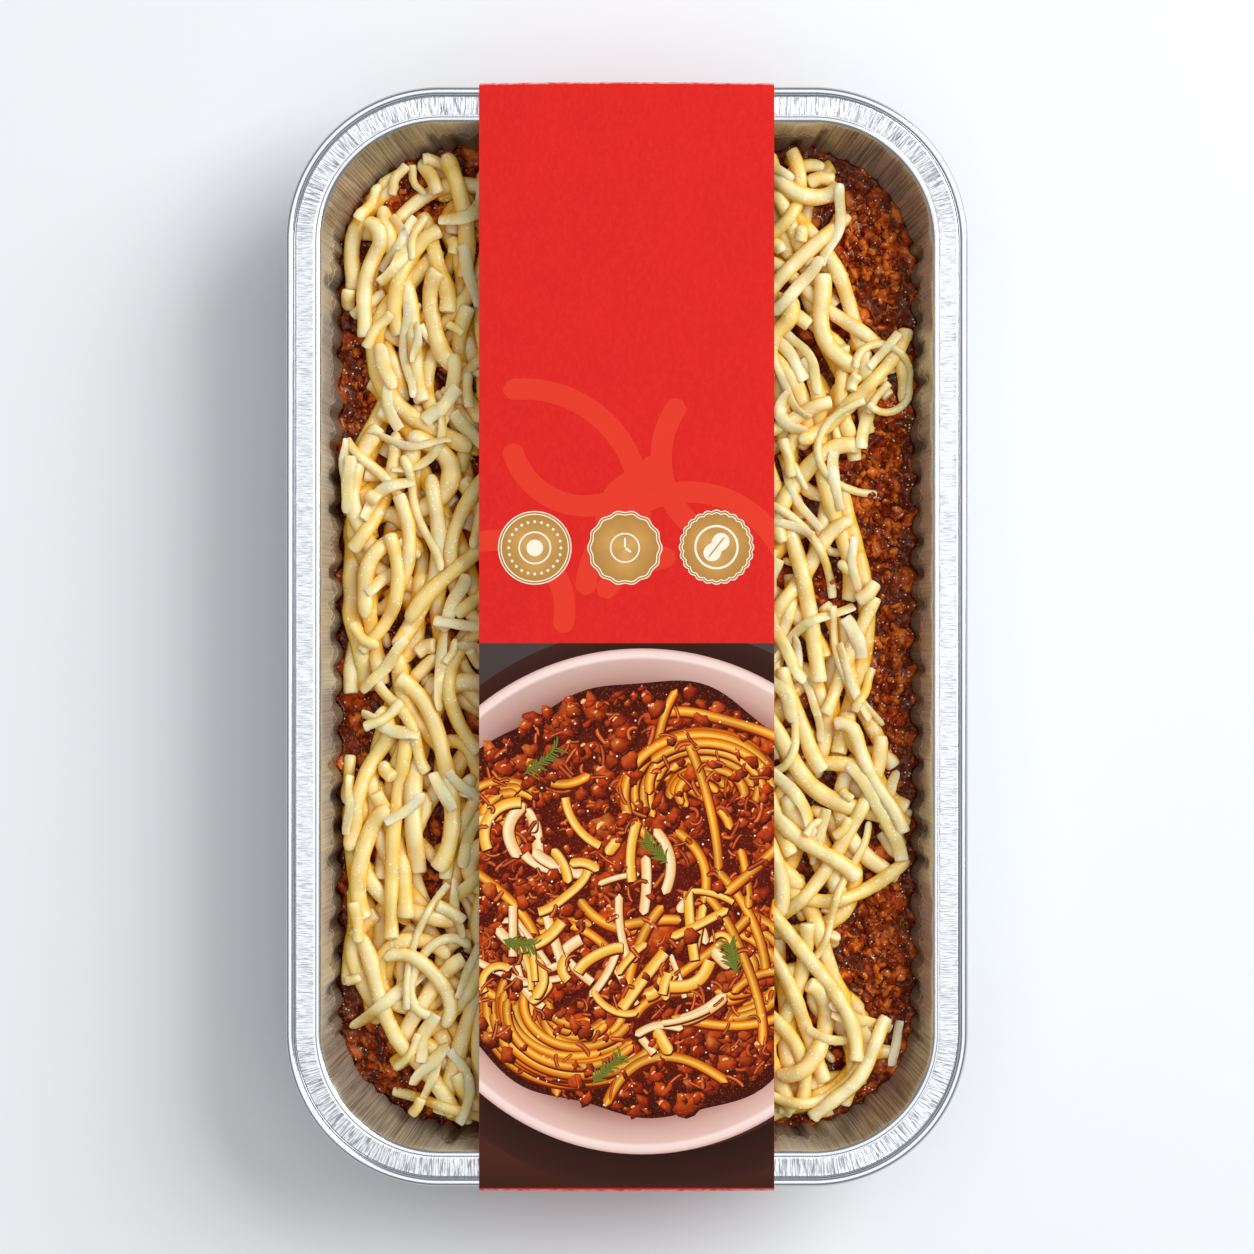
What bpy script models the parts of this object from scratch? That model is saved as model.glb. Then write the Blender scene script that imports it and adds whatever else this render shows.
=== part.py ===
# A frozen meal for several people in an aluminium foil tray: meat sauce with shredded cheese
# heaped on it, and a printed paperboard sleeve round the middle. Metres, +Z up.
# The origin is on the surface that the tray stands on, under the middle of the tray.
# +Y is the long way of the tray, and +X is its width.
import math
import random

import bmesh
import bpy
from mathutils import Vector, noise

# Driving dimensions of the tray
RIM_LENGTH = 0.3200
RIM_WIDTH = 0.1985
RIM_CORNER = 0.0450
TRAY_DEPTH = 0.0450
FLANGE = 0.0096
BEAD = 0.0025
WALL_SLOPE_IN = 0.0140
BASE_CORNER = 0.0320
FOIL = 0.0004
PANEL_RISE = 0.0010
PANEL_BORDER = 0.0120
FLUTE_DEPTH = 0.0010
FLUTE_TOP = 0.0320
WALL_BOTTOM = 0.0032
BASE_EDGE = 0.0020
SHOULDER = 0.0016
FLANGE_DROP = 0.0006
FLANGE_EDGE = 0.0004
BEAD_CROWN = 0.0005

# Driving dimensions of the sleeve
SLEEVE_WIDTH = 0.0858
SLEEVE_LENGTH = 0.3244
SLEEVE_BASE_LENGTH = 0.2790
BOARD = 0.00045
GLUE_FLAP = 0.0150
FOLD_RADIUS = 0.0010

# Driving dimensions of the food
GAP = 0.00035
FOIL_ACROSS = FOIL * 1.1
SAUCE_BELOW_RIM = 0.0170
MINCE_HEIGHT = 0.0024
MINCE_SIZE = 0.0055
CORE_INSET = 0.0065
CORE_HEIGHT = 0.0052
SHRED_WIDTH = 0.0047
SHRED_THICKNESS = 0.0040
SHREDS_A_SIDE = 27
SHRED_SEED = 11
SHRED_TRIES = 80
SHRED_STEP = 0.0095
SHRED_LENGTHS = (0.026, 0.074)
SHRED_FROM_MIDDLE = (0.046, 0.080)
SHRED_WIDTH_SHARES = (0.85, 1.15)
SHRED_BEND = math.radians(115)
SHRED_SWAY = math.radians(25)
SHRED_SPREAD = {-1: math.radians(38), 1: math.radians(62)}
SHRED_SCATTER = 0.006
SHRED_END_ROOM = 0.0170
SHRED_SUNK = 0.55
HEAP_BELOW_RIM = 0.0062

# Heights that follow from them
BASE_Z = BOARD + GAP
RIM_Z = BASE_Z + TRAY_DEPTH
SLEEVE_HEIGHT = RIM_Z + GAP + BOARD
SAUCE_Z = RIM_Z - SAUCE_BELOW_RIM
SAUCE_FLOOR_Z = BASE_Z + PANEL_RISE + FOIL + GAP

# Steps round the tray's outline, two to each flute of the wall
LONG_STEPS = 48
SHORT_STEPS = 20
CORNER_STEPS = 20

# Places where the sauce shows through the cheese: centre and half sizes, seen from above
BARE_PATCHES = (
    (0.0745, 0.1150, 0.0110, 0.0200),
    (0.0790, 0.0420, 0.0110, 0.0260),
    (0.0800, -0.0130, 0.0080, 0.0260),
    (0.0755, -0.0920, 0.0100, 0.0200),
    (0.0590, 0.0130, 0.0070, 0.0060),
    (-0.0650, 0.1260, 0.0100, 0.0060),
    (-0.0790, 0.0760, 0.0060, 0.0120),
    (-0.0790, -0.0200, 0.0050, 0.0120),
    (-0.0560, -0.0720, 0.0060, 0.0045),
    (-0.0700, -0.1300, 0.0080, 0.0060),
)
PATCH_MARGIN = 0.0035

# Points nearer to each other than this are one
TINY = 0.000004


def clear_scene():
    for thing in list(bpy.data.objects):
        bpy.data.objects.remove(thing)


def material(name, colour, roughness, metallic=0.0):
    made = bpy.data.materials.new(name)
    made.use_nodes = True
    shader = made.node_tree.nodes["Principled BSDF"]
    shader.inputs["Base Color"].default_value = (*colour, 1.0)
    shader.inputs["Roughness"].default_value = roughness
    shader.inputs["Metallic"].default_value = metallic
    return made


def object_from(bm, name, finish, smooth_degrees=35.0):
    mesh = bpy.data.meshes.new(name)
    bm.to_mesh(mesh)
    bm.free()
    mesh.shade_smooth()
    mesh.set_sharp_from_angle(angle=math.radians(smooth_degrees))
    mesh.materials.append(finish)
    made = bpy.data.objects.new(name, mesh)
    bpy.context.scene.collection.objects.link(made)
    return made


# Outline of the tray
def outline(half_width, half_length, radius):
    """Points and outward normals of a rounded rectangle, anticlockwise from above."""
    straight_x = half_width - radius
    straight_y = half_length - radius
    quarter = math.pi / 2
    sides = (
        (straight_x, straight_y, 0.0, LONG_STEPS),
        (-straight_x, straight_y, quarter, SHORT_STEPS),
        (-straight_x, -straight_y, 2 * quarter, LONG_STEPS),
        (straight_x, -straight_y, 3 * quarter, SHORT_STEPS),
    )
    found = []
    start = Vector((straight_x, -straight_y))
    for corner_x, corner_y, angle, steps in sides:
        end = Vector((corner_x, corner_y))
        normal = Vector((math.cos(angle), math.sin(angle)))
        for step in range(steps):
            found.append((start.lerp(end, step / steps) + normal * radius, normal))
        for step in range(CORNER_STEPS):
            turned = angle + quarter * step / CORNER_STEPS
            normal = Vector((math.cos(turned), math.sin(turned)))
            found.append((end + normal * radius, normal))
        start = end
    return found


def outline_distance(x, y, half_width, half_length, radius):
    """Distance outside a rounded rectangle, negative inside it."""
    over_x = abs(x) - (half_width - radius)
    over_y = abs(y) - (half_length - radius)
    outside = math.hypot(max(over_x, 0.0), max(over_y, 0.0))
    return outside + min(max(over_x, over_y), 0.0) - radius


def tray_ring(bm, inset, z, radius, flute=None):
    """One loop of the tray, this far in from the rim. A flute depth gives the wall's fine, wavy loop."""
    points = outline(RIM_WIDTH / 2 - inset, RIM_LENGTH / 2 - inset, radius)
    if flute is None:
        return [bm.verts.new((p.x, p.y, z)) for p, _ in points[::2]]
    loop = []
    for index, (point, normal) in enumerate(points):
        wave = flute if index % 2 == 0 else -flute
        place = point + normal * wave
        loop.append(bm.verts.new((place.x, place.y, z)))
    return loop


def skin(bm, first, second):
    """Faces between two loops. One loop may have twice the points of the other."""
    if len(first) == len(second):
        for k in range(len(first)):
            after = (k + 1) % len(first)
            bm.faces.new((first[k], second[k], second[after], first[after]))
        return
    coarse_first = len(first) < len(second)
    coarse, fine = (first, second) if coarse_first else (second, first)
    for k in range(len(coarse)):
        here, after = coarse[k], coarse[(k + 1) % len(coarse)]
        a, b, c = (fine[(2 * k + i) % len(fine)] for i in range(3))
        for face in ((here, a, b), (here, b, after), (after, b, c)):
            bm.faces.new(face if coarse_first else tuple(reversed(face)))


def wall_place(height):
    """Inset, corner radius and flute depth of the wall's outer face at a height above the tray's base."""
    share = height / TRAY_DEPTH
    inset = FLANGE + WALL_SLOPE_IN * (1 - share)
    radius = BASE_CORNER + (RIM_CORNER - FLANGE - BASE_CORNER) * share
    fade = min(1.0, max(0.0, (TRAY_DEPTH - height) / (TRAY_DEPTH - FLUTE_TOP)))
    return inset, radius, FLUTE_DEPTH * fade


def wall_ring(bm, height, offset):
    """The fluted wall's loop at this height, moved in by an offset."""
    inset, radius, flute = wall_place(height)
    return tray_ring(bm, inset + offset, BASE_Z + height, radius - offset, flute)


def build_tray(finish):
    bm = bmesh.new()
    base_inset = FLANGE + WALL_SLOPE_IN
    wall_top = TRAY_DEPTH - SHOULDER
    flange_z = RIM_Z - FLANGE_DROP
    top_inset, top_radius, _ = wall_place(wall_top)

    def plain(inset, z, radius=None):
        return tray_ring(bm, inset, z, RIM_CORNER - inset if radius is None else radius)

    def base(inset, z):
        return plain(base_inset + inset, z, BASE_CORNER - inset)

    bead_middle = BEAD / 2
    loops = [
        base(PANEL_BORDER, BASE_Z + PANEL_RISE + FOIL),
        base(BASE_EDGE + FOIL, BASE_Z + FOIL),
        wall_ring(bm, WALL_BOTTOM, FOIL_ACROSS),
        wall_ring(bm, FLUTE_TOP, FOIL_ACROSS),
        plain(top_inset + FOIL, BASE_Z + wall_top, top_radius - FOIL),
        plain(FLANGE - FLANGE_EDGE, flange_z),
        plain(BEAD, flange_z),
        plain(bead_middle + BEAD_CROWN, RIM_Z),
        plain(0.0, RIM_Z - bead_middle),
        plain(bead_middle, RIM_Z - BEAD),
        plain(BEAD - FLANGE_EDGE, flange_z - FOIL),
        plain(FLANGE - FLANGE_EDGE - FOIL, flange_z - FOIL),
        plain(top_inset, BASE_Z + wall_top - FOIL / 2, top_radius),
        wall_ring(bm, FLUTE_TOP, 0.0),
        wall_ring(bm, WALL_BOTTOM, 0.0),
        base(BASE_EDGE, BASE_Z),
        base(PANEL_BORDER, BASE_Z + PANEL_RISE),
    ]
    for first, second in zip(loops, loops[1:]):
        skin(bm, first, second)
    bm.faces.new(loops[0])
    bm.faces.new(tuple(reversed(loops[-1])))
    return object_from(bm, "foil_tray", finish)


# Sauce
def inner_distance(x, y, z):
    """Distance outside the wall's inner face at a height, negative inside the tray."""
    inset, radius, flute = wall_place(z - BASE_Z)
    inset += FOIL_ACROSS + flute
    return outline_distance(x, y, RIM_WIDTH / 2 - inset, RIM_LENGTH / 2 - inset, radius)


def patch_distance(x, y):
    """Distance outside the nearest bare patch, negative inside it."""
    nearest = 1.0
    for patch_x, patch_y, half_x, half_y in BARE_PATCHES:
        share = math.hypot((x - patch_x) / half_x, (y - patch_y) / half_y)
        nearest = min(nearest, (share - 1) * min(half_x, half_y))
    return nearest


def core_depth(x, y):
    """How far a place is inside the outline of the cheese's core, negative outside it."""
    from_wall = -inner_distance(x, y, SAUCE_Z) - CORE_INSET
    return min(from_wall, patch_distance(x, y) - PATCH_MARGIN)


def sauce_height(x, y):
    """The sauce is level under the cheese's core and lumpy with mince where it shows."""
    bare = min(1.0, max(0.0, (-core_depth(x, y) - MINCE_SIZE) / MINCE_SIZE))
    lumps = noise.noise(Vector((x, y, 0.37)) / (MINCE_SIZE * 0.9))
    return SAUCE_Z + bare * MINCE_HEIGHT * min(1.0, max(0.0, 0.5 + lumps))


def sauce_block():
    """A slab whose top has the sauce's relief and whose sides lie outside the tray's wall."""
    bm = bmesh.new()
    half_x, half_y = RIM_WIDTH / 2, RIM_LENGTH / 2
    cells_x = round(2 * half_x / MINCE_SIZE)
    cells_y = round(2 * half_y / MINCE_SIZE)
    bmesh.ops.create_grid(bm, x_segments=cells_x, y_segments=cells_y, size=0.5)
    for vert in bm.verts:
        x, y = vert.co.x * 2 * half_x, vert.co.y * 2 * half_y
        vert.co = (x, y, sauce_height(x, y))
    top = list(bm.faces)
    made = bmesh.ops.extrude_face_region(bm, geom=top)["geom"]
    for vert in (g for g in made if isinstance(g, bmesh.types.BMVert)):
        vert.co.z = 0.0
    bmesh.ops.recalc_face_normals(bm, faces=bm.faces)
    return bm


def build_sauce(finish):
    """The sauce fills the tray's own inside, less a hair all round, up to its lumpy top."""
    bm = bmesh.new()
    offset = FOIL_ACROSS + GAP
    edge = BASE_EDGE + FOIL
    loops = [
        tray_ring(bm, FLANGE + WALL_SLOPE_IN + edge, SAUCE_FLOOR_Z, BASE_CORNER - edge),
        wall_ring(bm, WALL_BOTTOM * 1.5, offset),
        wall_ring(bm, FLUTE_TOP, offset),
    ]
    for first, second in zip(loops, loops[1:]):
        skin(bm, first, second)
    bm.faces.new(tuple(loops[0]))
    bm.faces.new(tuple(loops[-1]))
    bmesh.ops.recalc_face_normals(bm, faces=bm.faces)
    body = object_from(bm, "meat_sauce", finish)
    cutter = object_from(sauce_block(), "sauce_level", finish)
    boolean(body, "INTERSECT", cutter)
    tidy_solid(body, math.radians(1.2))
    return body


# Booleans
def boolean(body, operation, other):
    """Applies a Boolean of the body with an object, or with all of a collection, then removes them."""
    modifier = body.modifiers.new("join", "BOOLEAN")
    modifier.operation = operation
    modifier.solver = "EXACT"
    helpers = [other]
    if isinstance(other, bpy.types.Collection):
        modifier.operand_type = "COLLECTION"
        modifier.collection = other
        helpers = list(other.objects)
    else:
        modifier.object = other
    bpy.context.view_layer.update()
    graph = bpy.context.evaluated_depsgraph_get()
    made = bpy.data.meshes.new_from_object(body.evaluated_get(graph))
    body.modifiers.remove(modifier)
    body.data = made
    for helper in helpers:
        bpy.data.objects.remove(helper)
    if isinstance(other, bpy.types.Collection):
        bpy.data.collections.remove(other)


def islands(bm):
    """The mesh's separate pieces, as lists of vertices."""
    left = set(bm.verts)
    while left:
        piece, edge_of_piece = [], [left.pop()]
        while edge_of_piece:
            vert = edge_of_piece.pop()
            piece.append(vert)
            for edge in vert.link_edges:
                other = edge.other_vert(vert)
                if other in left:
                    left.remove(other)
                    edge_of_piece.append(other)
        yield piece


def tidy_solid(body, flat_angle):
    """Keeps the largest piece, which drops scraps and fills sealed hollows, and joins coplanar faces."""
    bm = bmesh.new()
    bm.from_mesh(body.data)
    bmesh.ops.remove_doubles(bm, verts=bm.verts, dist=TINY)
    bmesh.ops.dissolve_degenerate(bm, edges=bm.edges, dist=TINY)
    pieces = sorted(islands(bm), key=len)
    for piece in pieces[:-1]:
        bmesh.ops.delete(bm, geom=piece, context="VERTS")
    bmesh.ops.dissolve_limit(bm, angle_limit=flat_angle, verts=bm.verts, edges=bm.edges)
    bmesh.ops.triangulate(bm, faces=bm.faces)
    bm.to_mesh(body.data)
    print(body.name, len(bm.faces), "triangles")
    bm.free()
    body.data.shade_smooth()
    body.data.set_sharp_from_angle(angle=math.radians(40))


# Cheese
def core_top(x, y):
    """Height that a shred's underside follows: the core's top, or just over the mince."""
    over_mince = SAUCE_Z + MINCE_HEIGHT + GAP
    share = min(1.0, max(0.0, core_depth(x, y) / (2 * SHRED_WIDTH) + 0.5))
    share = share * share * (3 - 2 * share)
    return over_mince + (SAUCE_Z + CORE_HEIGHT - over_mince) * share


def cheese_core(finish):
    """A low slab inside the wall, its top edge drawn in, with the bare patches cut out of it."""
    bm = bmesh.new()
    inset, radius, _ = wall_place(SAUCE_Z - BASE_Z)
    inset += CORE_INSET + FLUTE_DEPTH
    levels = ((0.0, GAP), (0.0004, CORE_HEIGHT * 0.6), (0.0030, CORE_HEIGHT))
    loops = [
        tray_ring(bm, inset + step, SAUCE_Z + rise, radius - CORE_INSET - step)
        for step, rise in levels
    ]
    for first, second in zip(loops, loops[1:]):
        skin(bm, first, second)
    bm.faces.new(tuple(loops[0]))
    bm.faces.new(tuple(loops[-1]))
    bmesh.ops.recalc_face_normals(bm, faces=bm.faces)
    core = object_from(bm, "cheese_shreds", finish)
    cutters = bpy.data.collections.new("bare_patches")
    bpy.context.scene.collection.children.link(cutters)
    for index, (x, y, half_x, half_y) in enumerate(BARE_PATCHES):
        bm = bmesh.new()
        bmesh.ops.create_cone(bm, cap_ends=True, segments=12, radius1=1.0, radius2=1.15, depth=1.0)
        size = (half_x + PATCH_MARGIN, half_y + PATCH_MARGIN, 4 * CORE_HEIGHT)
        bmesh.ops.scale(bm, vec=size, verts=bm.verts)
        bmesh.ops.translate(bm, vec=(x, y, SAUCE_Z), verts=bm.verts)
        cutter = object_from(bm, f"bare_patch_{index}", finish)
        bpy.context.scene.collection.objects.unlink(cutter)
        cutters.objects.link(cutter)
    boolean(core, "DIFFERENCE", cutters)
    return core


def shred_course(x, y, heading, length, bend, sway, steps):
    """The plan of one shred: it turns by bend along its length and sways to both sides."""
    places = []
    place = Vector((x, y))
    for step in range(steps + 1):
        along = step / steps - 0.5
        places.append(place.copy())
        angle = heading + bend * along + sway * math.sin(2 * math.pi * along)
        place += Vector((math.cos(angle), math.sin(angle))) * length / steps
    middle = places[steps // 2]
    return [p - middle + Vector((x, y)) for p in places]


def shred_fits(course):
    """Whether a shred stays inside the wall and lies over few bare places."""
    wall_room = SHRED_WIDTH * SHRED_WIDTH_SHARES[1] / 2 + GAP
    if any(inner_distance(p.x, p.y, SAUCE_Z) > -wall_room for p in course):
        return False
    over_bare = sum(patch_distance(p.x, p.y) < 0 for p in course)
    return over_bare <= len(course) / 5


def shred_heights(course, half_thickness, placed):
    """Middle height at each place of a shred: it rests on the core and on the shreds placed before it."""
    sunk = half_thickness * SHRED_SUNK
    heights = []
    for place in course:
        under = core_top(place.x, place.y)
        for x, y, top in placed:
            if math.hypot(place.x - x, place.y - y) < SHRED_WIDTH * 0.9:
                under = max(under, top)
        heights.append(under + sunk)
    for _ in range(2):
        ends = [heights[0]] + heights + [heights[-1]]
        heights = [
            max(h, 0.5 * h + 0.25 * (ends[k] + ends[k + 2]))
            for k, h in enumerate(heights)
        ]
    return heights


def main_shreds():
    """The large shreds on top, evenly spread along both open sides: course, heights and width of each."""
    draw = random.Random(SHRED_SEED)
    found, placed = [], []
    reach = RIM_LENGTH / 2 - SHRED_END_ROOM
    for index in range(SHREDS_A_SIDE * 2):
        side = -1 if index % 2 == 0 else 1
        slot = (index // 2 + 0.5) / SHREDS_A_SIDE
        spread = SHRED_SPREAD[side]
        for _ in range(SHRED_TRIES):
            x = side * draw.uniform(*SHRED_FROM_MIDDLE)
            y = reach * (2 * slot - 1) + draw.uniform(-SHRED_SCATTER, SHRED_SCATTER)
            heading = math.pi / 2 + draw.uniform(-spread, spread)
            length = draw.uniform(*SHRED_LENGTHS)
            bend = draw.uniform(-SHRED_BEND, SHRED_BEND)
            sway = draw.uniform(-SHRED_SWAY, SHRED_SWAY)
            width = draw.uniform(*SHRED_WIDTH_SHARES)
            steps = max(4, round(length / SHRED_STEP))
            course = shred_course(x, y, heading, length, bend, sway, steps)
            half_thickness = SHRED_THICKNESS * width / 2
            heights = shred_heights(course, half_thickness, placed)
            low_enough = max(heights) + half_thickness < RIM_Z - HEAP_BELOW_RIM
            if low_enough and shred_fits(course):
                found.append((course, heights, width))
                tops = [h + half_thickness * 0.5 for h in heights]
                placed += [(p.x, p.y, top) for p, top in zip(course, tops)]
                break
    return found


def shred_tube(course, heights, width, name, finish):
    """A shred as a six-sided bar that follows its course at the given heights."""
    half_width = SHRED_WIDTH * width / 2
    half_thickness = SHRED_THICKNESS * width / 2
    floor_z = SAUCE_Z + MINCE_HEIGHT + GAP + half_thickness
    bm = bmesh.new()
    rings = []
    for step, place in enumerate(course):
        before = course[max(step - 1, 0)]
        after = course[min(step + 1, len(course) - 1)]
        side = (after - before).orthogonal().normalized()
        middle_z = max(heights[step], floor_z)
        ring = []
        for corner in range(6):
            angle = math.pi / 3 * corner
            across = side * math.cos(angle) * half_width
            up = math.sin(angle) * half_thickness
            corner_place = (place.x + across.x, place.y + across.y, middle_z + up)
            ring.append(bm.verts.new(corner_place))
        rings.append(ring)
    for first, second in zip(rings, rings[1:]):
        skin(bm, first, second)
    bm.faces.new(rings[0])
    bm.faces.new(rings[-1])
    bmesh.ops.recalc_face_normals(bm, faces=bm.faces)
    return object_from(bm, name, finish)


def build_cheese(finish):
    core = cheese_core(finish)
    shreds = bpy.data.collections.new("shreds")
    bpy.context.scene.collection.children.link(shreds)
    for index, (course, heights, width) in enumerate(main_shreds()):
        shred = shred_tube(course, heights, width, f"shred_{index}", finish)
        bpy.context.scene.collection.objects.unlink(shred)
        shreds.objects.link(shred)
    boolean(core, "UNION", shreds)
    tidy_solid(core, math.radians(0.6))
    return core


# Sleeve
def sleeve_stations():
    """Outer and inner points round the sleeve's end view, as (y, z) pairs, starting at the top."""
    half_top = SLEEVE_LENGTH / 2
    half_base = SLEEVE_BASE_LENGTH / 2
    corners = [
        Vector((half_top, SLEEVE_HEIGHT)),
        Vector((half_base, 0.0)),
        Vector((-half_base, 0.0)),
        Vector((-half_top, SLEEVE_HEIGHT)),
    ]
    stations = []
    for index, corner in enumerate(corners):
        arriving = (corner - corners[index - 1]).normalized()
        leaving = (corners[(index + 1) % 4] - corner).normalized()
        start = math.atan2(arriving.y, arriving.x)
        turn = arriving.angle_signed(leaving)
        bend_back = FOLD_RADIUS * math.tan(abs(turn) / 2)
        centre = corner - arriving * bend_back + Vector((arriving.y, -arriving.x)) * FOLD_RADIUS
        for step in range(4):
            angle = start - abs(turn) * step / 3
            outward = Vector((-math.sin(angle), math.cos(angle)))
            outer = centre + outward * FOLD_RADIUS
            stations.append((outer, outer - outward * BOARD))
        if index == 2:
            outward = Vector((-leaving.y, leaving.x))
            for along, layers in ((GLUE_FLAP, 2), (GLUE_FLAP + BOARD, 1)):
                outer = corner + leaving * along
                stations.append((outer, outer - outward * BOARD * layers))
            last = stations[-3]
            stations[-3] = (last[0], last[0] - outward * BOARD * 2)
    return stations


def build_sleeve(finish):
    bm = bmesh.new()
    edges = {}
    for side in (-1, 1):
        for which in (0, 1):
            edges[side, which] = [
                bm.verts.new((side * SLEEVE_WIDTH / 2, pair[which].x, pair[which].y))
                for pair in sleeve_stations()
            ]
    skin(bm, edges[-1, 0], edges[1, 0])
    skin(bm, edges[1, 1], edges[-1, 1])
    skin(bm, edges[1, 0], edges[1, 1])
    skin(bm, edges[-1, 1], edges[-1, 0])
    bmesh.ops.recalc_face_normals(bm, faces=bm.faces)
    return object_from(bm, "board_sleeve", finish)


clear_scene()
build_tray(material("foil", (0.80, 0.81, 0.82), 0.30, 1.0))
build_sauce(material("sauce", (0.24, 0.055, 0.018), 0.35))
build_cheese(material("cheese", (0.86, 0.73, 0.42), 0.45))
build_sleeve(material("printed_board", (0.76, 0.012, 0.012), 0.50))
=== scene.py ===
# %% [markdown]
# # A foil tray meal
#
# A frozen meal for several people, seen from straight above: an aluminium foil tray, a bed of meat
# sauce, a heap of shredded cheese, and a printed board sleeve lengthwise round it all. Each cell makes
# one piece or one finish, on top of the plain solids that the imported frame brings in.

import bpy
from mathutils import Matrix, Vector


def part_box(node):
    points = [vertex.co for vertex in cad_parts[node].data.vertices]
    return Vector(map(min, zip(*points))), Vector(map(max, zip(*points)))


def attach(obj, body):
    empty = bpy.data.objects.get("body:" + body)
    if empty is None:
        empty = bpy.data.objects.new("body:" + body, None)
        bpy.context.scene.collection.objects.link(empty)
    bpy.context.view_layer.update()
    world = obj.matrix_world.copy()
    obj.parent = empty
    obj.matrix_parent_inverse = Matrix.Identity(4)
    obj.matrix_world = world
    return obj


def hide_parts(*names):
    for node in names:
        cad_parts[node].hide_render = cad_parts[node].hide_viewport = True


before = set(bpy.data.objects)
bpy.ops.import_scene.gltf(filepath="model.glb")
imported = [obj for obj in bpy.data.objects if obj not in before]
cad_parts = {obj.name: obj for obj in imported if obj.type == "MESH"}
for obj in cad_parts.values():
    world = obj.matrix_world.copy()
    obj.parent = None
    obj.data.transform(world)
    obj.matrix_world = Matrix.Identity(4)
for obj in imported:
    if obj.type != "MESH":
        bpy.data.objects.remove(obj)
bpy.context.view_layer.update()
print("nodes", sorted(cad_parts))

import math
import random

import bmesh
import bpy
import numpy as np
from mathutils import Vector, noise

SCENE = bpy.context.scene
SCENE.view_settings.view_transform = "Standard"

# %% [markdown]
# ## Sizes
#
# The finished pieces follow the same named sizes as the solids, so that foil, food and board still
# fit each other. All are in metres. The long side of the tray runs along Y.

# %% Sizes of the tray, the food and the sleeve
RIM_LENGTH, RIM_WIDTH, RIM_CORNER = 0.3200, 0.1985, 0.0450
TRAY_DEPTH, FLANGE, BEAD = 0.0450, 0.0096, 0.0025
WALL_SLOPE_IN, BASE_CORNER = 0.0140, 0.0320
FLUTE_DEPTH = 0.0010
SLEEVE_WIDTH = 0.0858
TRAY_BOX, SLEEVE_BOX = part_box("foil_tray"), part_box("board_sleeve")
BASE_Z, RIM_Z = TRAY_BOX[0][2], TRAY_BOX[1][2]
SAUCE_Z = RIM_Z - 0.0170
HEAP_TOP_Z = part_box("cheese_shreds")[1][2]
print("rim at", round(RIM_Z * 1000, 1), "mm, heap up to", round(HEAP_TOP_Z * 1000, 1), "mm")

# %% [markdown]
# ## Helpers for meshes
#
# Small helpers list the faces between rings of points, turn points and faces into an object, keep
# numbers at its points, and hand a piece over to the frame.

# %% Mesh helpers
def linked(name, data):
    """A new object in the scene, round a mesh, a light or a camera."""
    made = bpy.data.objects.new(name, data)
    SCENE.collection.objects.link(made)
    return made


def softened(mesh, degrees):
    """Smooth shading, with a crisp edge where faces meet at more than these degrees."""
    mesh.shade_smooth()
    mesh.set_sharp_from_angle(angle=math.radians(degrees))


def ring_faces(rings, count):
    """Quads between successive rings of this many points each."""
    faces = []
    for low in range(0, (rings - 1) * count, count):
        high = low + count
        faces += [(low + k, high + k, high + (k + 1) % count, low + (k + 1) % count) for k in range(count)]
    return faces


def piece_from(name, points, faces, finish, smooth_degrees):
    mesh = bpy.data.meshes.new(name)
    mesh.from_pydata([tuple(p) for p in points], [], [tuple(f) for f in faces])
    mesh.materials.append(finish)
    softened(mesh, smooth_degrees)
    mesh.update()
    return linked(name, mesh)


def add_values(piece, name, values, kind="FLOAT"):
    """Stores one number, vector or colour at every point of a piece."""
    attribute = piece.data.attributes.new(name, kind, "POINT")
    field = {"FLOAT": "value", "FLOAT_VECTOR": "vector", "FLOAT_COLOR": "color"}[kind]
    attribute.data.foreach_set(field, np.asarray(values, dtype=np.float32).ravel())


def hand_over(piece, node):
    """Rides on the one body, stands for the node, and prints its count of triangles."""
    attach(piece, "root")
    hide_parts(node)
    piece.data.calc_loop_triangles()
    print(piece.name, len(piece.data.loop_triangles), "triangles")


# %% [markdown]
# ## Helpers for node trees
#
# Materials and Geometry Nodes are both trees of nodes. `Tree.add` makes any node from its type, its
# settings and its inputs, and gives back a `Wire`. A `Wire` is an output with Python's operators on
# it, so a mask is written as `1 - mask` and the Math nodes are added behind the scenes.

# %% Node tree helpers
class Wire:
    def __init__(self, tree, socket):
        self.tree, self.socket = tree, socket

    def maths(self, operation, *values):
        return self.tree.add("ShaderNodeMath", {"operation": operation}, dict(enumerate(values)))

    def part(self, axis):
        """One of a vector's three numbers."""
        return self.tree.add("ShaderNodeSeparateXYZ", None, {0: self}, out=axis)

    def size(self):
        return self.maths("ABSOLUTE", self)

    def __add__(self, other):
        return self.maths("ADD", self, other)

    __radd__ = __add__

    def __sub__(self, other):
        return self.maths("SUBTRACT", self, other)

    def __rsub__(self, other):
        return self.maths("SUBTRACT", other, self)

    def __mul__(self, other):
        return self.maths("MULTIPLY", self, other)

    __rmul__ = __mul__

    def between(self, low, high):
        """0 below low, 1 above high, and a soft step between them."""
        inputs = {"Value": self, "From Min": low, "From Max": high}
        return self.tree.add("ShaderNodeMapRange", {"interpolation_type": "SMOOTHSTEP"}, inputs)


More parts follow.
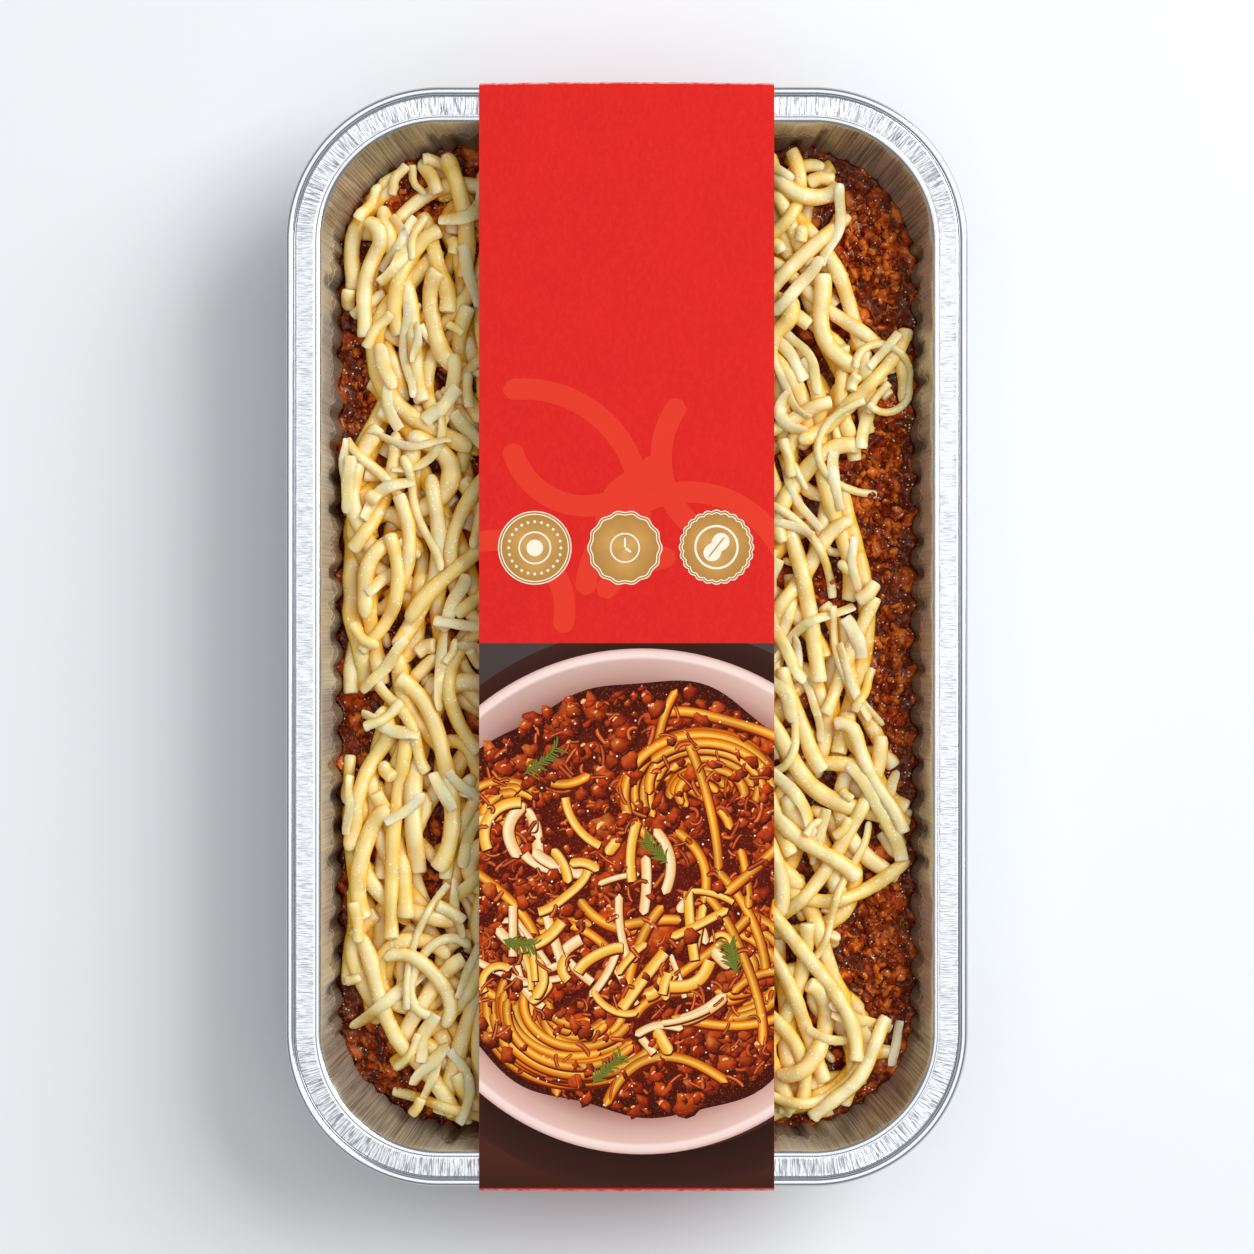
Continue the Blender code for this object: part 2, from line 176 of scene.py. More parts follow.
class Tree:
    def __init__(self, nodes, links):
        self.nodes, self.links = nodes, links

    def connect(self, socket, value):
        if isinstance(value, Wire):
            self.links.new(value.socket, socket)
        elif isinstance(value, tuple) and len(value) == 3 and socket.type == "RGBA":
            socket.default_value = (*value, 1.0)
        else:
            socket.default_value = value

    def add(self, kind, settings=None, inputs=None, out=0):
        node = self.nodes.new(kind)
        for name, value in (settings or {}).items():
            setattr(node, name, value)
        for key, value in (inputs or {}).items():
            self.connect(node.inputs[key], value)
        return Wire(self, node.outputs[out])

    def mix(self, factor, first, second):
        return self.add("ShaderNodeMix", {"data_type": "RGBA"}, {0: factor, 6: first, 7: second}, out=2)

    def coated(self, colour, *coats):
        """A colour with others laid over it in turn, each given as (share, colour)."""
        for share, over in coats:
            colour = self.mix(share, colour, over)
        return colour

    def scaled(self, vector, scale):
        return self.add("ShaderNodeVectorMath", {"operation": "MULTIPLY"}, {0: vector, 1: scale})

    def grain(self, vector, size, detail=2.0, roughness=0.5):
        """Noise whose lumps are about this large, in metres."""
        inputs = {"Vector": vector, "Scale": 1.0 / size, "Detail": detail, "Roughness": roughness}
        return self.add("ShaderNodeTexNoise", None, inputs)

    def cells(self, vector, size, feature="F1"):
        """Distance from the middles of random cells of this size, or from the edges between them."""
        inputs = {"Vector": vector, "Scale": 1.0 / size}
        return self.add("ShaderNodeTexVoronoi", {"feature": feature}, inputs, out="Distance")

    def same_on_axes(self, value):
        return self.add("ShaderNodeCombineXYZ", None, {axis: value for axis in range(3)})

    def stored(self, name):
        """A number kept at every point of the mesh that a Geometry Nodes tree works on."""
        return self.add("GeometryNodeInputNamedAttribute", {"data_type": "FLOAT"}, {"Name": name})

    def roughened(self, geometry, frequency, detail, depth):
        """The geometry with its points pushed out and in by noise, up to about this depth."""
        noise_in = {"Vector": self.add("GeometryNodeInputPosition"), "Scale": frequency, "Detail": detail}
        push = (self.add("ShaderNodeTexNoise", None, noise_in, out="Fac") - 0.5) * depth
        offset = self.scaled(self.add("GeometryNodeInputNormal"), self.same_on_axes(push))
        return self.add("GeometryNodeSetPosition", None, {"Geometry": geometry, "Offset": offset})


class Finish(Tree):
    """A material with one Principled surface, and a Tree to drive it."""

    def __init__(self, name):
        self.material = bpy.data.materials.new(name)
        self.material.use_nodes = True
        tree = self.material.node_tree
        super().__init__(tree.nodes, tree.links)
        self.surface = tree.nodes["Principled BSDF"]
        self.place = self.add("ShaderNodeTexCoord", out="Object")
        self.facing = self.add("ShaderNodeTexCoord", out="Normal")

    def set(self, **inputs):
        for name, value in inputs.items():
            self.connect(self.surface.inputs[name.replace("_", " ")], value)

    def value_of(self, name, out="Fac"):
        return self.add("ShaderNodeAttribute", {"attribute_name": name}, out=out)

    def relief(self, height, depth, under=None):
        """Bump of this depth, in metres, over an earlier bump if there is one."""
        inputs = {"Height": height, "Distance": depth, "Strength": 1.0}
        if under is not None:
            inputs["Normal"] = under
        return self.add("ShaderNodeBump", None, inputs)


def tone(red, green, blue):
    """A colour given as it looks on a screen, 0 to 255, made linear for the shaders."""
    shares = (red / 255, green / 255, blue / 255)
    return tuple(((c + 0.055) / 1.055) ** 2.4 if c > 0.04 else c / 12.92 for c in shares)


# %% [markdown]
# ## Floor, light and camera
#
# A pale table top and soft light. The main light is a large panel to the upper right, which puts the
# soft shadow on the left and at the foot. A wider panel straight above is what the foil's flat rim
# mirrors, so the rim looks nearly white. The camera looks straight down from a little over a metre.

# %% Floor, light and camera
def make_floor():
    finish = Finish("pale_table")
    finish.set(Base_Color=tone(236, 239, 242), Roughness=0.6)
    side = 3.0
    corners = [(-side, -side, 0), (side, -side, 0), (side, side, 0), (-side, side, 0)]
    piece_from("table_top", corners, [(0, 1, 2, 3)], finish.material, 40.0)


def make_panel(name, place, aim, size, power):
    """A square lamp of this size, in metres, that shines from a place towards an aim."""
    data = bpy.data.lights.new(name, "AREA")
    data.size = size
    data.energy = power
    lamp = linked(name, data)
    lamp.location = place
    lamp.rotation_euler = (Vector(aim) - Vector(place)).to_track_quat("-Z", "Y").to_euler()


def make_world(brightness):
    world = bpy.data.worlds.new("soft_room")
    world.use_nodes = True
    backdrop = world.node_tree.nodes["Background"]
    backdrop.inputs["Color"].default_value = (0.97, 0.985, 1.0, 1.0)
    backdrop.inputs["Strength"].default_value = brightness
    SCENE.world = world


def make_camera(above_rim, pixel_size, middle):
    """The photograph is 1254 pixels square, and one pixel covers pixel_size metres at the rim."""
    data = bpy.data.cameras.new("camera")
    data.sensor_width = 36.0
    data.lens = data.sensor_width * above_rim / (1254 * pixel_size)
    SCENE.camera = linked("camera", data)
    SCENE.camera.location = (*middle, RIM_Z + above_rim)
    print("lens", round(data.lens, 1), "mm")


make_floor()
make_world(0.24)
make_panel("main_panel", (1.85, 1.05, 1.80), (0.0, 0.0, 0.0), 1.8, 70.0)
make_panel("overhead_panel", (0.05, 0.05, 1.7), (0.05, 0.05, 0.0), 2.2, 14.2)
make_camera(1.15, 0.00029074, (0.0001, 0.0028))

# %% [markdown]
# ## The foil tray
#
# The tray is pressed from one sheet of foil. Its wall is gathered into flutes that are deep at the
# base and die out under the rim, the flat rim is finely crimped, and the edge is rolled into a bead.
# It is lofted: a profile, given as inset from the rim and height, is carried round the outline. Each
# point also keeps where it is along the outline, so that the crimps can follow it.

# %% Stations round the outline
LONG_STEPS, SHORT_STEPS, CORNER_STEPS = 48, 20, 20
FINE = 5


def outline_stations():
    """For every station: its place between the corners' centres, its normal, and its flute phase."""
    corners = (
        (1, 1, 0, LONG_STEPS), (-1, 1, 1, SHORT_STEPS), (-1, -1, 2, LONG_STEPS), (1, -1, 3, SHORT_STEPS))
    rows, before, phase = [], (1, -1), 0
    for sign_x, sign_y, quarter, steps in corners:
        for count, bend in ((steps, 0.0), (CORNER_STEPS, 1.0)):
            for k in range(count * FINE):
                share = k / (count * FINE)
                angle = (quarter + share * bend) * math.pi / 2
                along = 1.0 if bend else share
                middle_x = before[0] + (sign_x - before[0]) * along
                middle_y = before[1] + (sign_y - before[1]) * along
                rows.append((middle_x, middle_y, math.cos(angle), math.sin(angle), phase + k / FINE))
            phase += count
        before = (sign_x, sign_y)
    return np.array(rows)


STATIONS = outline_stations()
FLUTES = np.cos(np.pi * STATIONS[:, 4])


def ring_at(inset, radius, waves=0.0):
    """The outline's points at an inset from the rim, carried out or in by waves."""
    middle_x = STATIONS[:, 0] * (RIM_WIDTH / 2 - inset - radius)
    middle_y = STATIONS[:, 1] * (RIM_LENGTH / 2 - inset - radius)
    reach = radius + waves
    return np.stack([middle_x + STATIONS[:, 2] * reach, middle_y + STATIONS[:, 3] * reach], axis=1)


RIM_RING = ring_at(0.0, RIM_CORNER)
STEPS_ROUND = np.linalg.norm(np.roll(RIM_RING, -1, axis=0) - RIM_RING, axis=1)
ROUND = np.concatenate([[0.0], np.cumsum(STEPS_ROUND)[:-1]])
PERIMETER = float(STEPS_ROUND.sum())
print(len(STATIONS), "stations,", round(PERIMETER * 1000), "mm round")

# %% [markdown]
# The wall's inset and corner radius change evenly with height, as in the solid. Each flute keeps its
# depth over the lower half and ends at a height of its own, as foil gathers by itself in the press.
# Faint upright wrinkles come from seeded noise that joins up with itself round the outline. Both faces
# and the sauce's edge ask the same functions, so that none of them cuts through another.

# %% Profile of the foil
FOIL = 0.00022
FOIL_INSIDE = 0.00038
CORNER = np.clip(np.abs(STATIONS[:, 2] * STATIONS[:, 3]) * 3.2, 0.0, 1.0)


def flute_tops():
    """Height at which each flute ends, and how deep it is, at every station."""
    draw = random.Random(3)
    count = 2 * (LONG_STEPS + SHORT_STEPS) + 4 * CORNER_STEPS
    tops = [(draw.uniform(0.0310, 0.0415), draw.uniform(0.7, 1.3)) for _ in range(count // 2)]
    return np.array([tops[round(phase / 2) % len(tops)] for phase in STATIONS[:, 4]])


TOPS = flute_tops()


def wall_place(height):
    share = height / TRAY_DEPTH
    inset = FLANGE + WALL_SLOPE_IN * (1 - share)
    radius = BASE_CORNER + (RIM_CORNER - FLANGE - BASE_CORNER) * share
    return inset, radius


def smoothed(height):
    """How far the corners' flutes have died out at a height: they end lower than the sides' flutes."""
    return CORNER * np.clip((height - 0.020) / 0.008, 0.0, 1.0)


def pocket_at(height):
    """How deep in a flute's pocket each station lies at a height, 0 to 1."""
    own = np.clip((TOPS[:, 0] - height) / 0.0030, 0.0, 1.0)
    return np.maximum(FLUTES, 0.0) * own * own * (3 - 2 * own) * (1 - 0.9 * smoothed(height))


def flute_reach(height):
    """How far the flutes carry each station out or in at a height."""
    shared = np.clip((TRAY_DEPTH - 0.004 - height) / 0.018, 0.0, 1.0)
    inward = np.minimum(FLUTES, 0.0) * shared * 0.8 * (1 - 0.85 * smoothed(height))
    return FLUTE_DEPTH * (pocket_at(height) * TOPS[:, 1] * 1.4 + inward)


def wrap_noise(around, across, size, seed):
    """Noise along the outline that meets itself, of about this size round and across."""
    turn = around / PERIMETER * 2 * math.pi
    reach = PERIMETER / (2 * math.pi) / size[0]
    x, y = np.cos(turn) * reach, np.sin(turn) * reach
    return np.array([noise.noise(Vector((a, b, across / size[1] + seed))) for a, b in zip(x, y)])


def pucker_at(height):
    """Faint wrinkles of the wall at a height, the same for both faces."""
    upright = wrap_noise(ROUND, height, (0.0026, 0.030), 9.0)
    loose = wrap_noise(ROUND, height, (0.009, 0.009), 5.0)
    return upright * 0.00020 + loose * 0.00040


def foil_profile(side):
    """One face from the base to the bead, as rows of (inset, height, radius, flute, crimp, wall).

    Side is 1 for the inner face and 0 for the outer; wall is 1 and -1 on them.
    """
    shift = FOIL_INSIDE if side else FOIL_INSIDE - FOIL
    lift = FOIL if side else 0.0
    base_inset = FLANGE + WALL_SLOPE_IN
    rows = []

    def add(inset, height, radius, flute=0.0, crimp=0.0, wall=0.0):
        rows.append((inset, height, radius, flute, crimp, wall))

    for over, rise in ((0.0135, 0.0010), (0.0120, 0.0010), (0.0105, 0.0001), (0.0055, 0.0), (0.0024, 0.0)):
        add(base_inset + over, BASE_Z + rise + lift, BASE_CORNER - over)
    add(base_inset + 0.0007 + shift, BASE_Z + 0.0005 + lift, BASE_CORNER - 0.0007, flute_reach(0.0) * 0.4)
    for height in (0.0026, 0.008, 0.014, 0.020, *np.linspace(0.0245, TRAY_DEPTH - 0.0018, 12)):
        inset, radius = wall_place(height)
        add(inset + shift, BASE_Z + height, radius - shift, flute_reach(height), wall=1.0 if side else -1.0)
    flange_z = RIM_Z - 0.0006 - (0.0 if side else FOIL)
    for angle in np.radians((35, 65, 90)):
        inset = FLANGE + 0.0002 - 0.0007 * (1 - math.cos(angle)) + shift
        add(inset, flange_z - 0.0007 * (1 - math.sin(angle)), RIM_CORNER - inset)
    across = [(0.00915, 0.00012, 0.15), (0.0090, 0.00014, 0.15), (0.0088, 0.00002, 0.15)]
    across += [(0.0086, -0.00006, 0.15), (0.0084, 0.0, 0.15)]
    across += [(inset, 0.0, 1.0) for inset in np.linspace(0.0080, 0.0032, 7)]
    across += [(0.0029, 0.00006, 0.3), (0.0027, -0.0001, 0.0)]
    for inset, rise, crimp in across:
        add(inset, flange_z + rise, RIM_CORNER - inset, crimp=crimp)
    return rows


def bead_profile():
    """The rolled edge, from its inner side over the top and out to its underside."""
    half = BEAD / 2
    rows = []
    for angle in np.radians(np.linspace(170, -120, 13)):
        inset = half - half * math.cos(angle)
        rows.append((inset, RIM_Z - half + half * math.sin(angle), RIM_CORNER - inset, 0.0, 0.0, 0.0))
    return rows


# %% [markdown]
# Carried round the outline, the profile becomes the loft: the inner face, the bead and the outer face
# in one run, closed at both ends. The flat rim is pinched into small crimps by the same kind of noise.
# Numbers kept at the points say where the rim, the inner wall, the corners and the pockets are.

# %% Loft the foil
def make_tray(finish):
    rows = foil_profile(1) + bead_profile() + foil_profile(0)[::-1]
    around = PERIMETER / (2 * math.pi)
    turn = ROUND / PERIMETER * 2 * math.pi
    points, wraps, kinds = [], [], []
    across, before = 0.0, rows[0]
    for inset, height, radius, waves, crimped, on_wall in rows:
        across += math.hypot(inset - before[0], height - before[1])
        before = (inset, height)
        ring = ring_at(inset, max(radius, 0.001), waves)
        ring = ring + STATIONS[:, 2:4] * (pucker_at(height) * abs(on_wall))[:, None]
        crimp = wrap_noise(ROUND, across, (0.0011, 0.003), 3.0) * 0.00012 * crimped
        same = np.ones(len(ring))
        points.append(np.column_stack([ring, same * height + crimp]))
        wraps.append(np.column_stack([np.cos(turn) * around, np.sin(turn) * around, same * across]))
        inner = max(on_wall, 0.0)
        pocket = pocket_at(height - BASE_Z) * inner
        kinds.append(np.column_stack([same * crimped, same * inner, CORNER, pocket]))
    count = len(STATIONS)
    faces = ring_faces(len(rows), count)
    faces.append(tuple(range(count)))
    faces.append(tuple(range(len(rows) * count - 1, (len(rows) - 1) * count - 1, -1)))
    tray = piece_from("foil_tray_pressed", np.concatenate(points), faces, finish, 60.0)
    add_values(tray, "wrap", np.concatenate(wraps), "FLOAT_VECTOR")
    for name, values in zip(("crimped", "on_wall", "corner", "pocket"), np.concatenate(kinds).T):
        add_values(tray, name, values)
    return tray


# %% [markdown]
# The finish is bright metal, and silver outside. Crimps cross the flat rim at well under a millimetre
# apart, too fine to model, so they are bump with painted shade as dark lines and painted highlights as
# white strokes, stretched across the rim and squeezed along it, and strongest at the corners and the
# ends. The bead has painted shade where it turns steep. The inner wall's warm colour is a painted
# reflection of the food, with painted sheen on its wrinkles and its upper part, painted shade in its
# corners, in the pockets and below where the flutes end, and painted highlights along those ends.

# %% Foil finish
def foil_finish():
    foil = Finish("pressed_foil")
    wrap = foil.value_of("wrap", out="Vector")
    crimped, wall, corner = foil.value_of("crimped"), foil.value_of("on_wall"), foil.value_of("corner")
    height, side = foil.place.part("Z"), 1 - corner

    def lines(stretch, size, detail, roughness=0.5):
        """Noise drawn out across the outline: the smaller the stretch, the longer the lines."""
        return foil.grain(foil.scaled(wrap, (1.0, 1.0, stretch)), size, detail, roughness)

    strong = corner.maths("MAXIMUM", corner, foil.place.part("Y").size().between(0.130, 0.142))
    pleats = foil.cells(foil.scaled(wrap, (1.0, 1.0, 0.07)), 0.00105, "DISTANCE_TO_EDGE")
    strokes = lines(0.14, 0.00042, 1.5, 0.6)
    some = lines(0.5, 0.0030, 2.0).between(0.30, 0.62)
    # Painted shade: dark lines where the crimps fold, stronger at the corners and the ends.
    pleat_shade = (1 - pleats.between(0.01, 0.13)) * (0.10 + some * 0.12 + strong * (0.44 + some * 0.16)) * crimped
    stroke_shade = (1 - strokes.between(0.36, 0.46)) * crimped * (0.30 + strong * 0.25)
    upward = foil.facing.part("Z").between(0.30, 0.80)
    # Painted shade: the bead's steep side, which turns away from the light above, is darker.
    bead_side_shade = (1 - upward) * (1 - crimped) * (1 - wall) * height.between(0.0430, 0.0436)
    flat = foil.coated(
        tone(233, 236, 241), (pleat_shade, tone(112, 116, 126)), (stroke_shade, tone(138, 142, 152)),
        # Painted highlight: white strokes on the crimps' ridges.
        (strokes.between(0.54, 0.64) * crimped * 0.6, tone(254, 254, 255)),
        (bead_side_shade * 0.65, tone(96, 100, 108)))
    rays = lines(0.02, 0.00042, 1.0)
    # Painted sheen: pale streaks along the fine upright wrinkles, stronger in the corners; the wrinkles are
    # also bump.
    wrinkle_sheen = rays.between(0.36, 0.60) * (0.55 + corner * 0.45)
    fold = (height - lines(0.0, 0.0026, 1.0, 0.4) * 0.011).between(0.0310, 0.0315)
    second = (height + lines(0.0, 0.0034, 1.0, 0.4) * 0.012).between(0.0415, 0.0420)
    # Painted highlight: pale lines where the flutes end.
    fold_highlight = (fold * (1 - fold) + second * (1 - second)) * 4 * side * wall
    # The inner wall's warm base colour is a painted reflection of the food.
    inside = foil.coated(
        tone(164, 148, 122), (wrinkle_sheen, tone(226, 216, 196)),
        # Painted light: the upper part of the wall is paler.
        (height.between(0.0300, 0.0448) * side * 0.55, tone(240, 238, 230)),
        # Painted shade: the wall is darker below the two lines where the flutes end.
        ((1 - fold) * side * 0.40, tone(126, 106, 74)), ((1 - second) * side * 0.30, tone(120, 100, 70)),
        # Painted shade in the corners.
        (corner * 0.30, tone(112, 102, 86)),
        # Painted shade in the flutes' pockets.
        (foil.value_of("pocket").between(0.15, 0.90) * 0.45, tone(104, 84, 56)),
        (fold_highlight * 0.90, tone(252, 250, 242)))
    crimps = foil.relief(strokes * crimped, 0.00020, foil.relief(rays * wall, 0.00016))
    foil.set(Base_Color=foil.mix(wall, flat, inside), Metallic=1.0 - wall * 0.40, Normal=crimps)
    foil.set(Roughness=0.18 + crimped * 0.14 + wall * 0.18)
    return foil.material


tray = make_tray(foil_finish())
hand_over(tray, "foil_tray")

# %% [markdown]
# ## The meat sauce
#
# The sauce is a bed of small lumps of mince in a dark, wet gravy. Its surface is a set of rings that
# shrink inwards from the foil wall, so its edge follows every flute and wrinkle. Rounded lumps of
# random size raise it, it sinks a little towards both ends, and it creeps up where it wets the foil.

# %% Where the sauce shows
# Each patch is an ellipse: its middle, then half its size along X and along Y.
BARE_PATCHES = (
    (0.0745, 0.1150, 0.0110, 0.0200),
    (0.0790, 0.0420, 0.0110, 0.0260),
    (0.0800, -0.0130, 0.0080, 0.0260),
    (0.0755, -0.0920, 0.0100, 0.0200),
    (0.0590, 0.0130, 0.0070, 0.0060),
    (-0.0650, 0.1260, 0.0100, 0.0060),
    (-0.0790, 0.0760, 0.0060, 0.0120),
    (-0.0790, -0.0200, 0.0050, 0.0120),
    (-0.0560, -0.0720, 0.0060, 0.0045),
    (-0.0700, -0.1300, 0.0080, 0.0060),
)
MINCE_HEIGHT, GRAVY = 0.0026, 0.0008
SKIRT_HEIGHT = 0.0190


def bare_share(x, y):
    """1 in the middle of a bare patch, 0 outside them all."""
    share = np.zeros_like(x)
    for patch_x, patch_y, half_x, half_y in BARE_PATCHES:
        away = np.hypot((x - patch_x) / half_x, (y - patch_y) / half_y)
        share = np.maximum(share, np.clip(1.6 - away, 0.0, 1.0))
    return share


def inside_wall(x, y, height):
    """How far a place is inside the foil at a height above the tray's base, negative outside."""
    inset, radius = wall_place(height)
    inset = inset + FOIL_INSIDE + FLUTE_DEPTH * 0.6
    over_x = np.abs(x) - (RIM_WIDTH / 2 - inset - radius)
    over_y = np.abs(y) - (RIM_LENGTH / 2 - inset - radius)
    outside = np.hypot(np.maximum(over_x, 0.0), np.maximum(over_y, 0.0))
    return radius - outside - np.minimum(np.maximum(over_x, over_y), 0.0)


# %% Relief of the sauce
def mince_relief(x, y):
    """Height of the lumps over the gravy at each place."""
    draw = random.Random(5)
    relief = np.zeros_like(x)
    pitch = 0.0047
    for column in range(-19, 20):
        for row in range(-32, 33):
            centre_x = (column + draw.uniform(-0.45, 0.45)) * pitch
            centre_y = (row + draw.uniform(-0.45, 0.45)) * pitch
            long_half = draw.uniform(0.0021, 0.0052)
            short_half = long_half * draw.uniform(0.45, 0.85)
            angle = draw.uniform(0, math.pi)
            height = draw.uniform(0.30, 1.0) * MINCE_HEIGHT
            near = (np.abs(x - centre_x) < long_half) & (np.abs(y - centre_y) < long_half)
            if not near.any():
                continue
            dx, dy = x[near] - centre_x, y[near] - centre_y
            along = (dx * math.cos(angle) + dy * math.sin(angle)) / long_half
            aside = (dy * math.cos(angle) - dx * math.sin(angle)) / short_half
            dome = np.sqrt(np.clip(1 - along ** 2 - aside ** 2, 0.0, 1.0)) * height
            relief[near] = np.maximum(relief[near], dome)
    return relief


def slump(y):
    """The sauce sinks a little towards both ends of the tray."""
    return 0.0034 * np.clip((np.abs(y) - 0.095) / 0.045, 0.0, 1.0) ** 2


def sauce_level(x, y):
    """The tray was filled a little higher on the right."""
    return SAUCE_Z - 0.0005 + 0.0009 * x / 0.08 - slump(y)


def fine_relief(x, y, size, seed):
    return np.array([noise.noise(Vector((a / size, b / size, seed))) for a, b in zip(x, y)])


def wall_height(x, y):
    """Height of the sauce over the tray's base where it wets the foil."""
    lumps = np.maximum(mince_relief(x, y), GRAVY) * 0.35
    creep = 0.0004 + 0.0016 * np.clip(fine_relief(x, y, 0.011, 4.0) + 0.3, 0.0, 1.0)
    return SAUCE_Z - BASE_Z - slump(y) + lumps + creep


def make_sauce(finish):
    near = ring_at(0.0150, 0.0340)
    height = wall_height(near[:, 0], near[:, 1])
    inset, radius = wall_place(height)
    inset = inset + FOIL_INSIDE - 0.00003
    waves = flute_reach(height) + pucker_at(SAUCE_Z)
    steps = np.concatenate([np.arange(0.0, 0.0405, 0.00062), np.arange(0.042, 0.080, 0.0045)])
    rings = []
    for step in steps:
        fade = max(0.0, 1 - step / 0.004)
        rings.append(ring_at(inset + step, np.maximum(radius - step, 0.0006), waves * fade))
    flat = np.concatenate(rings)
    x, y = flat[:, 0], flat[:, 1]
    count, last = len(STATIONS), len(flat) - len(STATIONS)
    edge = np.repeat(np.clip(steps / 0.003, 0.0, 1.0), count)
    gravy = GRAVY + fine_relief(x, y, 0.006, 3.0) * 0.0006
    lumps = np.maximum(mince_relief(x, y), gravy) + fine_relief(x, y, 0.0018, 2.0) * 0.00016
    creep = (1 - edge) * (0.0004 + 0.0016 * np.clip(fine_relief(x, y, 0.011, 4.0) + 0.3, 0.0, 1.0))
    top = sauce_level(x, y) + lumps * (0.35 + 0.65 * edge) + creep
    top[:count] = BASE_Z + height
    low_inset, low_radius = wall_place(SKIRT_HEIGHT)
    skirt = ring_at(low_inset + FOIL_INSIDE + 0.0014, low_radius - 0.0014)
    skirt = np.column_stack([skirt, np.full(count, BASE_Z + SKIRT_HEIGHT)])
    start = len(flat)
    faces = [(a, d, c, b) for a, b, c, d in ring_faces(len(steps), count)]
    faces.append(tuple(range(last, start)))
    faces += [(k, start + k, start + (k + 1) % count, (k + 1) % count) for k in range(count)]
    faces.append(tuple(range(start + count - 1, start - 1, -1)))
    points = np.concatenate([np.column_stack([x, y, top]), skirt])
    sauce = piece_from("meat_sauce_bed", points, faces, finish, 180.0)
    none = np.zeros(count)
    add_values(sauce, "lump", (np.concatenate([lumps, none]) - GRAVY) / (MINCE_HEIGHT - GRAVY))
    clear = np.clip((inside_wall(x, y, SAUCE_Z - BASE_Z) - 0.0024) / 0.002, 0.0, 1.0)
    add_values(sauce, "bare", np.concatenate([bare_share(x, y) * clear, none]))
    return sauce


# %% [markdown]
# The gravy is dark red-brown in the hollows and orange-brown on the lumps. It mirrors little, and in
# its own warm tint, or it would look purple under white light. Patches of clear coat over a grainy
# skin give the glints of something wet, and small pale specks are frost and painted glints.

# %% Sauce finish
def sauce_finish(name, on_lumps):
    sauce = Finish(name)
    patches = sauce.grain(sauce.place, 0.0034, 2.0, 0.5)
    fibres = sauce.grain(sauce.scaled(sauce.place, (1.0, 0.5, 1.0)), 0.00060, 2.0, 0.6)
    height = sauce.value_of("lump") if not on_lumps else patches
    dots = sauce.cells(sauce.place, 0.00135)
    where = sauce.grain(sauce.place, 0.0036, 1.0)
    # Pale specks: frost, and painted glints of wet sauce.
    frost_and_glint_specks = (1 - dots.between(0.12, 0.22)) * where.between(0.48, 0.56)
    colour = sauce.coated(
        tone(82, 15, 2), (height.between(0.05, 0.85), tone(166, 58, 12)),
        (patches.between(0.46, 0.64) * height.between(0.1, 0.6) * 0.8, tone(220, 118, 40)),
        (fibres.between(0.56, 0.74) * 0.40, tone(244, 156, 70)),
        ((1 - fibres.between(0.30, 0.46)) * 0.6, tone(84, 13, 1)), (frost_and_glint_specks * 0.9, tone(255, 240, 216)))
    grain = sauce.relief(fibres, 0.00008 if on_lumps else 0.00016)
    wet = sauce.grain(sauce.place, 0.0018, 2.0, 0.6).between(0.48, 0.60)
    sauce.set(Base_Color=colour, Roughness=0.17, Normal=sauce.relief(patches, 0.0007, grain))
    sauce.set(Coat_Weight=wet * 0.50, Coat_Roughness=0.04)
    sauce.set(Specular_IOR_Level=0.14, Specular_Tint=(1.0, 0.60, 0.30))
    return sauce.material


sauce = make_sauce(sauce_finish("meat_sauce_wet", False))

# %% [markdown]
# Loose mince lies on the bed where no cheese hides it, strewn with Geometry Nodes: points on the
# sauce's surface, and on each a lumpy pebble or a bent thread of meat, turned and stretched at random.
# The tree ends by realizing the copies, so that the result is one ordinary mesh.

# %% Geometry Nodes helpers
def new_maker(name, **sizes):
    """A Geometry Nodes tree with a geometry input and these named inputs, whole or real numbers."""
    group = bpy.data.node_groups.new(name, "GeometryNodeTree")
    group.interface.new_socket("Geometry", in_out="INPUT", socket_type="NodeSocketGeometry")
    for label, value in sizes.items():
        kind = "NodeSocketInt" if isinstance(value, int) else "NodeSocketFloat"
        group.interface.new_socket(label, in_out="INPUT", socket_type=kind).default_value = value
    group.interface.new_socket("Geometry", in_out="OUTPUT", socket_type="NodeSocketGeometry")
    tree = Tree(group.nodes, group.links)
    source = group.nodes.new("NodeGroupInput")
    tree.given = {socket.name: Wire(tree, socket) for socket in source.outputs if socket.name}
    tree.group = group
    return tree


def close_maker(tree, geometry, finish):
    """Realizes the copies, sets the material and joins the result to the tree's output."""
    real = tree.add("GeometryNodeRealizeInstances", None, {"Geometry": geometry})
    dressed = tree.add("GeometryNodeSetMaterial", None, {"Geometry": real, "Material": finish})
    result = tree.nodes.new("NodeGroupOutput")
    tree.connect(result.inputs["Geometry"], dressed)


def run_maker(source, tree, values, name):
    """Evaluates the tree on a source object and keeps the result as a plain mesh of its own."""
    modifier = source.modifiers.new("maker", "NODES")
    modifier.node_group = tree.group
    for item in tree.group.interface.items_tree:
        if item.in_out == "INPUT" and item.name in values:
            modifier[item.identifier] = values[item.name]
    bpy.context.view_layer.update()
    graph = bpy.context.evaluated_depsgraph_get()
    mesh = bpy.data.meshes.new_from_object(source.evaluated_get(graph), depsgraph=graph)
    source.modifiers.remove(modifier)
    mesh.name = name
    softened(mesh, 50.0)
    return linked(name, mesh)


# %% Scatter the mince
THREAD = {"Resolution": 7, "Radius": 1.0, "Start Angle": 0.0, "Sweep Angle": 2.4}


